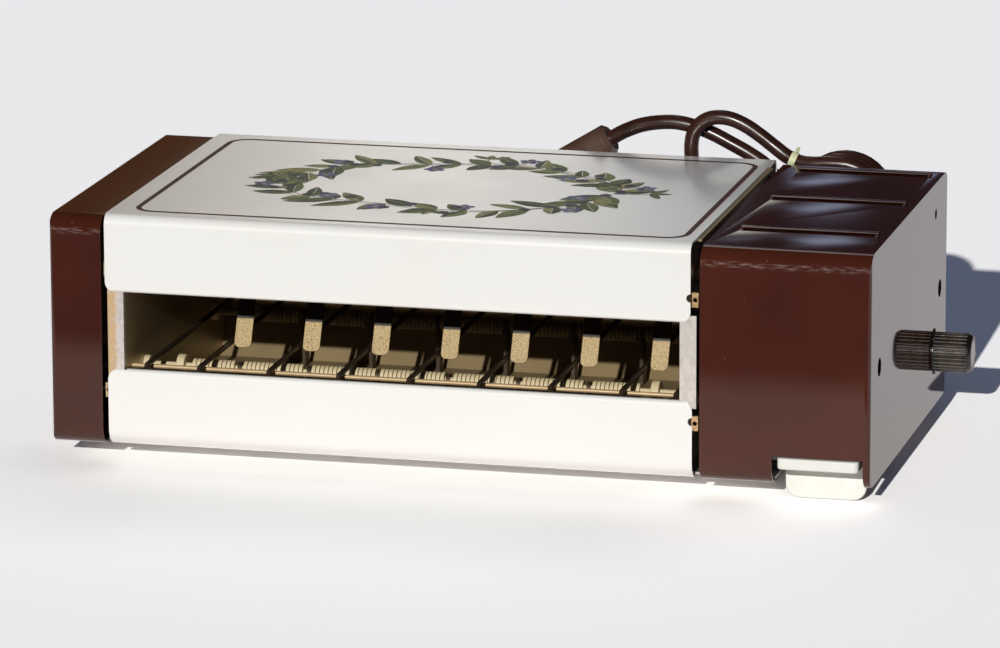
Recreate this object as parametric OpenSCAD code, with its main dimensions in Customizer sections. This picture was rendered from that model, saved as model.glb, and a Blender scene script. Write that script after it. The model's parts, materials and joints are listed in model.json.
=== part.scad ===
// Front-loading toaster for three slices side by side, with a pull-out ejector comb.
// X runs along the front to the right, Y runs to the back, Z points up.
// The origin is the middle of the footprint, on the surface that the toaster stands on.

/* [Body] */
// Width over the left cap and the control housing, without the knob
body_w = 450; // [440:1:500]
// Depth from the front faces to the back
body_d = 227.5; // [222:0.5:260]
// Height of the brown end caps, without the feet
body_h = 126.8; // [124:0.2:150]
// Thickness of the sheet steel
sheet_t = 1.2; // [0.8:0.1:1.5]
// Radius of the long top edges of the end caps
edge_r = 10; // [7:0.5:14]
// Radius of the upright outer corners of the end caps
corner_r = 3; // [2:0.5:6]
// Radius of the bottom edges of the end caps
hem_r = 10; // [6:0.5:10.5]
// Width of the folded lips that the base plate lies on
lip_w = 18; // [17:0.5:22]
// Width of the folded lip under a cap's closed side
side_lip = 10; // [8:0.5:12]
// Width of the left end cap
cap_w = 29; // [25:0.5:36]
// Width of the control housing
box_w = 91.5; // [90:0.5:110]

/* [Feet] */
// Clear height under the body
foot_h = 12; // [11:0.5:20]
// Diameter of a rubber foot
foot_d = 16; // [12:0.5:20]
// Distance of the front feet from the front face
foot_front = 62; // [50:1:80]
// Distance of the rear feet from the back
foot_back = 30; // [22:1:50]

/* [Cream covers] */
// Gap between the left cap and the covers
cover_gap_l = 1.8; // [1:0.1:2.5]
// Gap between the upper cover and the control housing
cover_gap_r = 5.3; // [4:0.1:7]
// Step to the right of the lower cover
cover_shift = 1; // [0:0.1:1.5]
// Distance of the cream fronts behind the brown fronts
cover_y = 1.5; // [0.5:0.1:3]
// Rise of the upper cover above the end caps
cover_rise = 1.5; // [0.5:0.1:3]
// Bend radius of the upper cover
cover_r = 6; // [4:0.5:9]
// Radius of the covers' corners beside the toast slot
slot_r = 6; // [3:0.5:8]
// Height of the toast slot's lower edge above the body's bottom
slot_low = 43.1; // [41:0.1:50]
// Height of the toast slot
slot_h = 42.3; // [41:0.1:50]
// Depth of the folded lips along the slot
slot_lip = 8; // [6:0.5:9]
// Depth of the lower cover's lip along the slot
low_lip = 3; // [2.6:0.2:5]

/* [Toast chamber] */
// Distance from the left cap to the chamber's left wall
wall_in_l = 11.7; // [10:0.1:14]
// Distance from the control housing to the chamber's right wall
wall_in_r = 11.3; // [10:0.1:14]
// Width of the flanges that show beside the slot
flange_w = 9; // [7:0.5:9.5]
// Thickness of the reflector sheets
mirror_t = 0.8; // [0.5:0.1:1]
// Height of the lower reflector's floor above the body's bottom
mirror_low = 8; // [6:0.5:10]
// Depth from the upper reflector's ceiling to the top of the caps
mirror_high = 10.8; // [8:0.2:13]
// Rise of the lower reflector's front slope
low_rise = 30; // [24:1:32]
// Rise of the upper reflector's front slope
high_rise = 22; // [18:1:26]
// Depth of a reflector's rear slope
trough_back = 24; // [18:1:30]
// Distance of a reflector's front edge from the front
trough_front = 12; // [10:0.5:14]
// Distance of the rear reflector from the back
mirror_back = 19.5; // [16:0.5:24]

/* [Heaters] */
// Diameter of the ceramic beads
bead_d = 9; // [7:0.5:10]
// Length of one bead
bead_l = 2; // [1.6:0.1:2.1]
// Distance from bead to bead
bead_pitch = 2.4; // [2.3:0.1:3]
// Diameter of the heating conductor inside the beads
core_d = 4; // [3:0.5:5]
// Distance of the front heaters from the front
heater_front = 42; // [38:1:50]
// Distance of the rear heaters from the back
heater_back = 55.5; // [50:0.5:62]
// Height of the lower heaters' axis above the body's bottom
heater_low = 36.8; // [33:0.1:38]
// Depth of the upper heaters' axis below the top of the caps
heater_high = 22.8; // [20:0.1:24]
// Diameter of the ceramic collars at the heaters' ends
collar_d = 13; // [11:0.5:15]
// Length of a collar
collar_l = 4.4; // [3:0.1:6]
// Distance of a collar from the chamber wall
collar_in = 18.9; // [15:0.1:22]

/* [Toast grid] */
// Diameter of the grid bars
bar_d = 3; // [2.5:0.1:3.5]
// Distance from bar to bar
bar_pitch = 38.9; // [36:0.1:42]
// Distance from the last regular bar to the end bar
bar_end = 29.5; // [27:0.1:33]
// Step of the bars to the right of the chamber's middle
bar_shift = 3.8; // [2:0.1:5]
// Distance of the bars' front ends from the front
bar_front = 5; // [4.8:0.1:7]
// Length of a bar's front end that is bent down
bar_hook = 5; // [3:0.5:8]
// Angle that the front ends are bent down by
bar_dip = 40; // [20:5:60]
// Distance of the bars' rear ends from the back
bar_back = 37.5; // [30:0.5:40]
// Diameter of the two cross rods under the bars
rod_d = 2.4; // [2:0.1:3]
// Distance of the front cross rod from the front
rod_front = 18; // [15:0.5:24]

/* [Ejector] */
// Distance of the comb's tips from the front, pushed home
comb_y = 66; // [60:1:70]
// Lean of the comb, tips forward
comb_lean = 25; // [20:1:30]
// Width of a finger
finger_w = 9.5; // [8:0.5:10]
// Rounding of a finger's tip
finger_r = 3; // [1:0.5:4]
// Step of a finger to the right of its bar
finger_step = 7.4; // [7.2:0.1:9]
// Height of the fingers' tips above the body's bottom
finger_low = 43; // [42.6:0.1:46]
// Height of the strip's lower edge above the body's bottom
strip_low = 80; // [76:0.5:82]
// Width of the strip that joins the fingers
strip_w = 13; // [10:0.5:13]
// Thickness of the comb's sheet
comb_t = 1; // [0.8:0.1:1.5]
// Travel of the ejector towards the back
travel = 80; // [60:1:90]
// Diameter of the guide rod
guide_d = 5; // [4:0.5:6]
// Running clearance round the guide rod
guide_gap = 0.06; // [0.04:0.01:0.1]
// Clearance of the comb in its slots
slot_gap = 3; // [2:0.5:4]

/* [Handle] */
// Width of the handle's lip
handle_w = 43.7; // [40:0.1:44]
// Thickness of the lip
handle_t = 6.1; // [5:0.1:7]
// Height of the lip's underside above the body's bottom
handle_low = 9.7; // [8.5:0.1:10.5]
// Overhang of the lip in front of the brown front
handle_out = 1.5; // [0.5:0.1:4]
// Depth from the lip's front to the back of its plate
handle_d = 27.5; // [24:0.5:32]
// Thickness of the plate that hangs down
plate_t = 3; // [2.5:0.1:4]
// Rounding of the hanging plate's lower corners
plate_r = 7.5; // [3:0.5:8]
// Gap between the hanging plate and the table
plate_gap = 0.6; // [0.5:0.1:2]
// Distance from the lip to the right outer face
handle_in = 5.8; // [5.5:0.1:7]
// Side clearance of the lip in its notch
notch_gap = 3; // [2:0.1:3.9]
// Clearance above the lip in its notch
notch_top = 0.6; // [0.4:0.1:2]

/* [Knob and timer] */
// Distance of the knob's axis from the back
knob_back = 37.3; // [35:0.1:42]
// Height of the knob's axis above the body's bottom
knob_up = 31.6; // [28:0.1:36]
// Diameter of the knob
knob_d = 22; // [18:0.5:24]
// Distance of the knob's end from the side face
knob_out = 22; // [18:0.5:28]
// Number of grooves round the knob
knob_grooves = 30; // [20:1:36]
// Diameter of the timer shaft
shaft_d = 6; // [5:0.5:7]
// Clearance of the shaft in the knob
shaft_gap = 0.05; // [0.04:0.01:0.1]
// Side of the timer's square case
timer_s = 40; // [36:1:44]
// Length of the timer's case
timer_l = 34; // [28:1:38]
// Diameter of the timer's bell
bell_d = 34; // [28:1:36]

/* [Power cord] */
// Diameter of the cord
cord_d = 8.3; // [6:0.1:8.5]
// Radius of the hank's turns
hank_r = 24; // [22.5:0.5:26]
// Height of the hank from its lowest to its highest turn
hank_h = 133; // [125:1:140]
// Gap between the turns of the hank
hank_gap = 1; // [0.8:0.1:2]
// Width of the twist tie
tie_w = 3.6; // [2.5:0.1:5]
// Diameter of the plug's sleeve
sleeve_d = 18.5; // [14:0.5:20]
// Length of the plug's sleeve
sleeve_l = 34; // [28:1:40]
// Diameter of the plug
plug_d = 38; // [34:0.5:38.5]
// Length of the plug's body
plug_l = 38; // [32:1:44]
// Distance from pin to pin
pin_pitch = 19; // [17:0.5:20]

/* [Hidden] */

e = 0.01;
fine = 72;

// Where the chief planes lie, measured from the left face, the brown front and the table
zb = foot_h;
z_top = zb + body_h;
x_box = body_w - box_w;
x_l = cap_w + wall_in_l;
x_r = x_box - wall_in_r;
x_mid = (x_l + x_r) / 2;
chamber_w = x_r - x_l;
cover_x = cap_w + cover_gap_l;
cover_w = x_box - cover_gap_r - cover_x;
y_in = cover_y + sheet_t;
z_slot = zb + slot_low;
z_slot_top = z_slot + slot_h;
z_cover = z_top + cover_rise;
z_base = zb + sheet_t;
z_floor = z_base + sheet_t;
base_in = cover_y + hem_r + 0.2;
z_mirror = zb + mirror_low;
z_ceiling = z_top - mirror_high;
y_mirror = body_d - mirror_back;
rear_drop = 10;
mirror_rim = 28;
seat = 0.05;
tab_low = [27, 94];

// Heaters and grid
y_heat = [heater_front, body_d - heater_back];
z_heat = [zb + heater_low, z_top - heater_high];
z_bar = z_slot + bar_d / 2;
z_rod = z_slot - rod_d / 2 - seat;
y_rod = [rod_front, body_d - bar_back - rod_d * 2];
bars_each_side = floor((chamber_w / 2 - bar_end - bar_shift - bar_d) / bar_pitch);
bar_at = [for (i = [-bars_each_side:bars_each_side]) x_mid + bar_shift + i * bar_pitch];
bars_all = concat([bar_at[0] - bar_end], bar_at, [bar_at[len(bar_at) - 1] + bar_end]);
support_step = 13.7;
support_t = 2;
support_w = 8;
support_x = [for (x = bar_at) if (x + support_step < x_r - collar_in - collar_l - 4) x + support_step];
bushing_d = 10;
bushing_l = 8;
fit = 0.05;

// Ejector
lean_run = tan(comb_lean);
z_tip = zb + finger_low;
z_strip = zb + strip_low;
y_strip = comb_y + (z_strip - z_tip) * lean_run;
strip_rise = strip_w * cos(comb_lean);
y_strip_back = y_strip + strip_w * sin(comb_lean) + comb_t / cos(comb_lean);
z_slide = z_strip + strip_rise / 2;
shield_x = x_box + sheet_t + 0.6;
block_x = shield_x + sheet_t + 3;
block_w = 11;
block_h = 15;
block_d = 26;
block_y = (y_strip + y_strip_back) / 2 - block_d / 2;
guide_x = block_x + block_w / 2;
bracket_t = 2;
bracket_y = [block_y - 14, block_y + block_d + travel + 10];
arm_t = 2;
arm_x = block_x + block_w;

// Handle, its notch and the slot under it
handle_x = body_w - handle_in - handle_w;
z_handle = zb + handle_low;
handle_y = handle_d - handle_out;
notch_x = handle_x - notch_gap;
notch_w = handle_w + notch_gap * 2 - 0.8;
notch_h = handle_low + handle_t + notch_top;
slot_end = handle_y + travel + 3;

// Knob and timer
y_knob = body_d - knob_back;
z_knob = zb + knob_up;
washer_t = 0.8;
knob_x = body_w + washer_t + 0.3;
knob_l = knob_out - washer_t - 0.3;
panel_hole_d = shaft_d + 4;
switch_y = y_knob - timer_s / 2 - 34;

// Louvres in the control housing's top
louvre_r = 7;
louvre_sink = 5;
louvre_y = [54, body_d - 94.5, body_d - 19.5];
louvre_l = box_w - 17;
louvre_x = x_box + 11;

// Cord outlet in the back
outlet_x = body_w - 18;
outlet_z = zb + 22;
relief_l = 32;
relief_neck_d = 11;

// The hank stands behind the control housing and rests on the table; its last turn is nearest the back
hank_turns = 2.5;
hank_x = 388;
hank_y = body_d + cord_d / 2 + 0.7;
hank_step = cord_d + hank_gap;
hank_low = cord_d / 2 + 0.5 + hank_r;
hank_run = hank_h - 2 * hank_r;
hank_end = 8;

// Points of the cord's free stretches: X, distance behind the back, height
lead_points = [
    [432, 32, 34], [432, 43, 32.6], [430.5, 57, 27], [423.5, 71, 18], [411, 81, 10.5], [396, 85.5, 6],
    [380, 85.5, 4.25], [365, 81.5, 4.25], [354, 70.5, 4.25], [350, 55.5, 4.25], [353.5, 41.5, 4.25],
    [363, 30.5, 4.25]
];
tail_points = [
    [372.5, 5, 137], [365, 6, 137.3], [357.5, 7.2, 140], [350, 8.2, 145], [342, 8.5, 150.8],
    [333.5, 8.5, 156.2], [325, 8.5, 159.6], [316.5, 8.5, 160.2], [309.3, 8.5, 157.6], [304.4, 8.5, 152.2],
    [302.5, 8.5, 145], [302.8, 8.8, 135], [305, 10, 124], [309.5, 12, 113], [317.5, 14.5, 104.5],
    [328.5, 17, 101], [339.5, 18.7, 104.5], [347, 19.4, 113], [348.5, 19.5, 122.5], [343.5, 19.5, 131],
    [334.5, 19.5, 137.3], [323, 19.5, 143.3], [311, 19.5, 149], [299, 19.5, 152.8], [287, 19.5, 154],
    [273, 19.5, 152], [262, 19.5, 147.8]
];
tie_at = [361, 6.6, 138.4];
tie_turn = -68;
plug_at = [254, 19.5, 143.2];
plug_turn = -121.3;

// Vector helpers for swept tubes
function unit(v) = v / norm(v);
function clamp(i, n) = max(0, min(n - 1, i));
function tangents(p) = [for (i = [0:len(p) - 1]) unit(p[clamp(i + 1, len(p))] - p[clamp(i - 1, len(p))])];
function square_to(v, t) = unit(v - (v * t) * t);
function carry(t, i, n) = i >= len(t) ? [] :
    concat([square_to(n, t[i])], carry(t, i + 1, square_to(n, t[i])));
function ring(p, n, b, r, sides) = [for (k = [0:sides - 1]) let (turn = 360 * k / sides)
    p + r * (cos(turn) * n + sin(turn) * b)];
function blend(a, b, c, d, t) = 0.5 * (2 * b + (c - a) * t + (2 * a - 5 * b + 4 * c - d) * t * t
    + (3 * b - a - 3 * c + d) * t * t * t);
function smooth(p, steps) = concat([for (i = [0:len(p) - 2]) for (j = [0:steps - 1])
    blend(p[clamp(i - 1, len(p))], p[i], p[i + 1], p[clamp(i + 2, len(p))], j / steps)], [p[len(p) - 1]]);
function behind(p) = [p[0], body_d + p[1], p[2]];

// A tube of round section along a list of points, square ends, as one closed mesh
module tube(p, d, sides, first, last) {
    mid = tangents(p);
    t = [for (i = [0:len(p) - 1]) i == 0 ? unit(first) : i == len(p) - 1 ? unit(last) : mid[i]];
    n = carry(t, 0, abs(t[0][2]) < 0.9 ? [0, 0, 1] : [0, 1, 0]);
    rings = [for (i = [0:len(p) - 1]) ring(p[i], n[i], cross(t[i], n[i]), d / 2, sides)];
    points = [for (r = rings) each r];
    sides_faces = [for (i = [0:len(p) - 2]) for (k = [0:sides - 1]) for (h = [0, 1])
        let (a = i * sides + k, b = i * sides + (k + 1) % sides)
        h == 0 ? [a, a + sides, b] : [b, a + sides, b + sides]];
    start = [for (k = [1:sides - 2]) [0, k, k + 1]];
    top = (len(p) - 1) * sides;
    finish = [for (k = [1:sides - 2]) [top, top + k + 1, top + k]];
    polyhedron(points, concat(start, sides_faces, finish));
}

// Puts a piece from the corner-based measures into the model's frame
module place() {
    translate([-(body_w + knob_out) / 2, -(body_d - handle_out) / 2, 0]) children();
}

// Cuts the corner at the origin to a round of radius r
module corner_cut(r) {
    difference() {
        translate([-1, -1]) square(r + 1);
        translate([r, r]) circle(r, $fn = fine);
    }
}

// Rectangle with its own radius at each corner, from the lower left one round
module round_box(w, h, bl, br, tr, tl) {
    difference() {
        square([w, h]);
        if (bl > 0) corner_cut(bl);
        if (br > 0) translate([w, 0]) rotate(90) corner_cut(br);
        if (tr > 0) translate([w, h]) rotate(180) corner_cut(tr);
        if (tl > 0) translate([0, h]) rotate(270) corner_cut(tl);
    }
}

// Extrudes a drawing in Y and Z along X, from x over the length l
module along_x(x, l) {
    translate([x, 0, 0]) rotate([90, 0, 90]) linear_extrude(l) children();
}

// A round bar or hole along X
module bar_x(x, y, z, d, l, n = 32) {
    translate([x, y, z]) rotate([0, 90, 0]) cylinder(d = d, h = l, $fn = n);
}

// A round bar or hole along Y
module bar_y(x, y, z, d, l, n = 32) {
    translate([x, y, z]) rotate([-90, 0, 0]) cylinder(d = d, h = l, $fn = n);
}

// Solid outer form of an end cap whose closed face is at X 0, drawn in by g
module cap_form(w, g) {
    r = max(edge_r - g, 0.5);
    hem = max(hem_r - g, 0.5);
    upright = max(corner_r - g, 0.5);
    intersection() {
        along_x(g, w) translate([g, zb + g]) round_box(body_d - 2 * g, body_h - 2 * g, hem, hem, r, r);
        translate([g, g, 0]) linear_extrude(z_top + 1) round_box(w, body_d - 2 * g, upright, 0, 0, upright);
    }
}

// Hollow drawn cap, open towards the chamber and with a lip round its bottom
module cap_shell(w) {
    difference() {
        intersection() {
            cap_form(w, 0);
            cube([w, body_d, z_top + 1]);
        }
        cap_form(w + 1, sheet_t);
        translate([side_lip, lip_w, zb - 1]) cube([w, body_d - 2 * lip_w, sheet_t + 2]);
    }
}

// Long shallow ridge pressed up out of the housing's top
module louvre(x, y, l) {
    translate([x, y, z_top - sheet_t / 2]) intersection() {
        bar_x(0, 0, -louvre_sink, 2 * louvre_r, l, 48);
        translate([0, -louvre_r, 0]) cube([l, 2 * louvre_r, louvre_r]);
    }
}

// Hollow under a ridge, with the slit along its front
module louvre_cut(x, y, l) {
    translate([x + 1.5, y, z_top - sheet_t / 2]) {
        intersection() {
            bar_x(0, 0, -louvre_sink, 2 * (louvre_r - sheet_t), l - 3, 48);
            translate([0, -louvre_r, -3]) cube([l - 3, 2 * louvre_r, louvre_r]);
        }
        translate([0, -louvre_r, sheet_t / 2]) cube([l - 3, louvre_r - 1, 0.8]);
    }
}

module left_end_cap() {
    color("#4a261e") place() cap_shell(cap_w);
}

// Control housing: drawn shell with three louvres, four holes and the handle's notch
module control_housing() {
    side_holes = [[body_d - 37.2, 109.2, 5.8], [body_d - 22.2, 64.1, 9.8], [26.1, 61.6, 9.9]];
    color("#4a261e") place() difference() {
        union() {
            translate([body_w, 0, 0]) mirror([1, 0, 0]) cap_shell(box_w);
            for (y = louvre_y) louvre(louvre_x, y, louvre_l);
        }
        for (y = louvre_y) louvre_cut(louvre_x, y, louvre_l);
        translate([notch_x, -1, zb - 1]) cube([notch_w, lip_w + 2, notch_h + 1]);
        translate([notch_x, 0, zb - 1]) cube([notch_w, slot_end, sheet_t + 2]);
        for (h = side_holes) bar_x(body_w - 3, h[0], zb + h[1], h[2], 5);
        bar_x(body_w - 3, y_knob, z_knob, panel_hole_d, 5);
        bar_y(outlet_x, body_d - 3, outlet_z, relief_neck_d + 2 * fit, 5);
    }
}

// Upper cover: front, top and a drop at the back in one bent sheet
module upper_cover() {
    h = z_cover - z_slot_top;
    d = body_d - cover_y;
    color("#f3f2ec") place() difference() {
        along_x(cover_x, cover_w) translate([cover_y, z_slot_top]) difference() {
            round_box(d, h, 2.5, 0, cover_r, cover_r);
            translate([sheet_t, sheet_t])
                round_box(d - 2 * sheet_t, h - 2 * sheet_t, 1.3, 0, cover_r - sheet_t, cover_r - sheet_t);
            translate([slot_lip, -1]) square([d, sheet_t + 1 + e]);
            translate([d / 2, -1]) square([d, h - rear_drop + 1]);
        }
        for (x = [cover_x - 1, x_r - 0.3]) translate([x, y_in, z_slot_top - 1])
            cube([x_l + 1.3 - cover_x, slot_lip, 6]);
        slot_corners(cover_x, z_slot_top, 1);
        tab_notch(cover_x + cover_w, tab_low[1]);
    }
}

// Rounds the two corners of a cover beside the slot; up is 1 above the slot and -1 below it
module slot_corners(x, z, up) {
    for (side = [0, 1]) translate([x + side * cover_w, 0, z]) mirror([side, 0, 0])
        mirror([0, 0, up > 0 ? 0 : 1]) rotate([90, 0, 0]) translate([0, 0, -y_in - 2])
        linear_extrude(y_in + 3) corner_cut(slot_r);
}

// Half-round notch in a cover's right edge, beside a tab of the side plate
module tab_notch(x, low) {
    bar_y(x, cover_y - 1, zb + low + 5, 4.6, sheet_t + 2, 24);
}

// Lower cover: front with a lip along the slot and one under the base plate
module lower_cover() {
    x = cover_x + cover_shift;
    color("#f3f2ec") place() difference() {
        along_x(x, cover_w) translate([cover_y, zb]) difference() {
            round_box(lip_w, slot_low, hem_r, 0, 0, 2.5);
            translate([sheet_t, sheet_t])
                round_box(lip_w, slot_low - 2 * sheet_t, hem_r - sheet_t, 0, 0, 1.3);
            translate([low_lip, slot_low - sheet_t - e]) square([lip_w, sheet_t + 1]);
        }
        for (side = [x - 1, x_r - 0.3]) translate([side, y_in, z_slot - 5])
            cube([x_l + 1.3 - cover_x, slot_lip, 6]);
        slot_corners(x, z_slot, -1);
        tab_notch(x + cover_w, tab_low[0]);
    }
}

// Rear panel with a row of upright vents and a bottom lip
module rear_panel() {
    top = z_cover - rear_drop - 0.3;
    vents = 16;
    color("#b9b9b6") place() difference() {
        union() {
            translate([cover_x, body_d - sheet_t, zb]) cube([cover_w, sheet_t, top - zb]);
            translate([cover_x, body_d - lip_w, zb]) cube([cover_w, lip_w, sheet_t]);
        }
        for (i = [0:vents - 1]) translate([x_mid + (i - (vents - 1) / 2) * 16, body_d - 3, zb + body_h / 2])
            rotate([-90, 0, 0]) linear_extrude(5) square([3, 34], center = true);
    }
}

// Base plate, lying on the lips, with the slot that the handle's plate runs in
module base_plate() {
    color("#a9abab") place() difference() {
        translate([base_in, base_in, z_base]) cube([body_w - 2 * base_in, body_d - 2 * base_in, sheet_t]);
        translate([notch_x, -1, z_base - 1]) cube([notch_w, slot_end + 1, sheet_t + 2]);
        for (p = foot_places()) translate([p[0], p[1], z_base - 1]) cylinder(d = 4, h = 5, $fn = 24);
    }
}

function foot_places() = [
    [cap_w - 4, foot_front], [cap_w - 4, body_d - foot_back],
    [x_box + 16, foot_front], [x_box + 16, body_d - foot_back]
];

// Four rubber feet, each with a recess for its screw
module feet() {
    color("#2b2826") place() for (p = foot_places()) translate([p[0], p[1], 0]) difference() {
        rotate_extrude($fn = 48) round_box(foot_d / 2, z_base, 0, 1.5, 0, 0);
        translate([0, 0, -1]) cylinder(d = 8, h = 6, $fn = 32);
        cylinder(d = 4, h = z_base + 1, $fn = 24);
    }
}

// Screws that hold the feet to the base plate
module foot_screws() {
    color("#8f9090") place() for (p = foot_places()) translate([p[0], p[1], 0]) {
        translate([0, 0, 2.5]) cylinder(d = 7, h = 2.5, $fn = 32);
        translate([0, 0, 2.5]) cylinder(d = 3.9, h = z_floor - 1.5, $fn = 24);
    }
}

// One chamber wall with the front flange and its two tabs; the wall lies at X 0 and below
module side_plate(tab_x) {
    z_up = z_cover - sheet_t;
    y_back = body_d - sheet_t;
    difference() {
        union() {
            along_x(-sheet_t, sheet_t) translate([y_in, z_floor])
                round_box(y_back - y_in, z_up - z_floor, hem_r - sheet_t, 0, cover_r, cover_r);
            translate([-flange_w, y_in, z_slot - 4]) cube([flange_w, sheet_t, slot_h + 8]);
            for (h = tab_low) translate([-tab_x, y_in, zb + h]) cube([tab_x, sheet_t, 8]);
            translate([-8, 20, z_up - sheet_t]) cube([8, body_d - 40, sheet_t]);
        }
        for (h = tab_low) bar_y(1.8 - tab_x, y_in - 1, zb + h + 4, 2.4, 4, 24);
        translate([-5, y_strip - slot_gap, z_strip - slot_gap])
            cube([10, y_strip_back - y_strip + travel + 2 * slot_gap, strip_rise + 2 * slot_gap]);
        for (y = y_heat) for (z = z_heat) bar_x(-5, y, z, bushing_d + 2 * fit, 10);
    }
}

module left_side_plate() {
    color("#c8c8c4") place() translate([x_l, 0, 0]) side_plate(wall_in_l - 0.9);
}

module right_side_plate() {
    color("#c8c8c4") place() translate([x_r, 0, 0]) mirror([1, 0, 0]) side_plate(wall_in_r - 1.2);
}

// Reflector sheet behind the toast
module rear_reflector() {
    low = z_mirror + mirror_rim;
    high = z_ceiling - mirror_rim;
    color("#a89c7c") place() translate([x_l, y_mirror, low]) cube([chamber_w, mirror_t, high - low]);
}

// Section of a trough-shaped reflector: floor, two sloping sides and an upright rim behind
module trough(depth, rise) {
    front = trough_front;
    slope = 15;
    t = mirror_t;
    polygon([
        [front, rise], [front + slope, 0], [depth - trough_back, 0], [depth, mirror_rim - 2], [depth, mirror_rim],
        [depth + t, mirror_rim], [depth + t, mirror_rim - 2 - t / 2], [depth - trough_back + t / 2, -t],
        [front + slope - t / 2, -t], [front - t, rise]
    ]);
}

module lower_reflector() {
    color("#a89c7c") place() along_x(x_l, chamber_w) translate([0, z_mirror]) trough(y_mirror, low_rise);
}

module upper_reflector() {
    color("#a89c7c") place() along_x(x_l, chamber_w) translate([0, z_ceiling]) mirror([0, 1])
        trough(y_mirror, high_rise);
}

// Nine grid bars that carry the toast, with their front ends bent down behind the cover's lip
module toast_grid() {
    bend_y = bar_front + bar_hook;
    color("#4d4238") place() for (x = bars_all) {
        bar_y(x, bend_y, z_bar, bar_d, body_d - bar_back - bend_y, 24);
        translate([x, bend_y, z_bar]) {
            sphere(d = bar_d, $fn = 24);
            rotate([90 + bar_dip, 0, 0]) cylinder(d = bar_d, h = bar_hook / cos(bar_dip), $fn = 24);
        }
    }
}

// Cross rods from wall to wall, under the bars
module grid_cross_rods() {
    color("#c3b79c") place() for (y = y_rod) bar_x(x_l, y, z_rod, rod_d, chamber_w, 24);
}

// Heating conductor threaded through ceramic beads, with a bare gap at each support
module heater(y, z) {
    first = x_l + collar_in + collar_l + 4;
    last = x_r - collar_in - collar_l - 4;
    n = floor((last - first) / bead_pitch);
    free = bead_l / 2 + support_t / 2 + 0.2;
    beads = [for (i = [0:n - 1]) let (x = first + (i + 0.5) * bead_pitch)
        if (min([for (s = support_x) abs(x - s)]) > free) x];
    union() {
        bar_x(x_l - sheet_t - 10, y, z, core_d, chamber_w + 2 * sheet_t + 20, 24);
        for (x = beads) bar_x(x - bead_l / 2, y, z, bead_d, bead_l, 28);
    }
}

module lower_heater_front() {
    color("#ddd3b8") place() heater(y_heat[0], z_heat[0]);
}

module lower_heater_rear() {
    color("#ddd3b8") place() heater(y_heat[1], z_heat[0]);
}

module upper_heater_front() {
    color("#ddd3b8") place() heater(y_heat[0], z_heat[1]);
}

module upper_heater_rear() {
    color("#ddd3b8") place() heater(y_heat[1], z_heat[1]);
}

// Runs its child once for each heater axis
module each_heater() {
    for (y = y_heat) for (z = z_heat) translate([0, y, z]) children();
}

// Ceramic collars at both ends of each heater
module heater_collars() {
    color("#e6dfcb") place() each_heater() for (x = [x_l + collar_in, x_r - collar_in - collar_l])
        difference() {
            bar_x(x, 0, 0, collar_d, collar_l, 40);
            bar_x(x - 1, 0, 0, core_d + 2 * fit, collar_l + 2, 24);
        }
}

// Ceramic bushings that carry the conductors through the chamber walls
module wall_bushings() {
    inside = 3;
    color("#e6dfcb") place() each_heater() for (x = [x_l + inside - bushing_l, x_r - inside]) difference() {
        bar_x(x, 0, 0, bushing_d, bushing_l, 32);
        bar_x(x - 1, 0, 0, core_d + 2 * fit, bushing_l + 2, 24);
    }
}

// Thin plates that hold a heater; foot is the height of the reflector under or over the axis
module heater_support(y, z, foot) {
    for (x = support_x) difference() {
        union() {
            bar_x(x - support_t / 2, y, z, support_w, support_t, 32);
            translate([x - support_t / 2, y - support_w / 2, min(z, foot)])
                cube([support_t, support_w, abs(z - foot)]);
        }
        bar_x(x - support_t, y, z, core_d + 2 * fit, support_t * 2, 24);
    }
}

module heater_supports_low() {
    color("#5b4f42") place() for (y = y_heat) heater_support(y, z_heat[0], z_mirror);
}

module heater_supports_high() {
    color("#5b4f42") place() for (y = y_heat) heater_support(y, z_heat[1], z_ceiling);
}

// Flat straps that join the heaters' ends in pairs, outside both walls
module heater_links() {
    t = 0.8;
    w = 7;
    reach = sheet_t + 10 + t;
    color("#b98a4a") place() for (x = [x_l - reach, x_r + sheet_t + 10]) for (z = z_heat)
        translate([x, y_heat[0] - w / 2, z - w / 2]) cube([t, y_heat[1] - y_heat[0] + w, w]);
}

// Ejector comb: seven fingers with rounded tips and their strip, cut from one sheet and leaning forward
module ejector_comb() {
    slant = (z_strip - z_tip) / cos(comb_lean);
    color("#cdb996") place() translate([0, comb_y, z_tip]) rotate([90 - comb_lean, 0, 0])
        translate([0, 0, -comb_t]) linear_extrude(comb_t) {
            translate([x_l - 5, slant]) square([block_x - x_l + 5, strip_w]);
            for (x = bar_at) translate([x + finger_step - finger_w / 2, 0])
                round_box(finger_w, slant + 1, finger_r, finger_r, 0, 0);
        }
}

// Block that runs on the guide rod and carries the comb's right end
module slide_block() {
    color("#cfcabd") place() difference() {
        translate([block_x, block_y, z_slide - block_h / 2]) cube([block_w, block_d, block_h]);
        bar_y(guide_x, block_y - 1, z_slide, guide_d + 2 * guide_gap, block_d + 2, 48);
    }
}

// Flat arm from the slide block down to the handle
module ejector_arm() {
    foot_y = handle_y - 14;
    color("#b4b6b6") place() along_x(arm_x, arm_t) polygon([
        [block_y + 2, z_slide - 6], [block_y + 2, z_slide + 6], [block_y + block_d - 2, z_slide + 6],
        [block_y + block_d - 2, z_slide - 8], [handle_y, z_handle + handle_t + 14],
        [handle_y, z_handle], [foot_y, z_handle], [foot_y, z_handle + handle_t + 18]
    ]);
}

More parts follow.
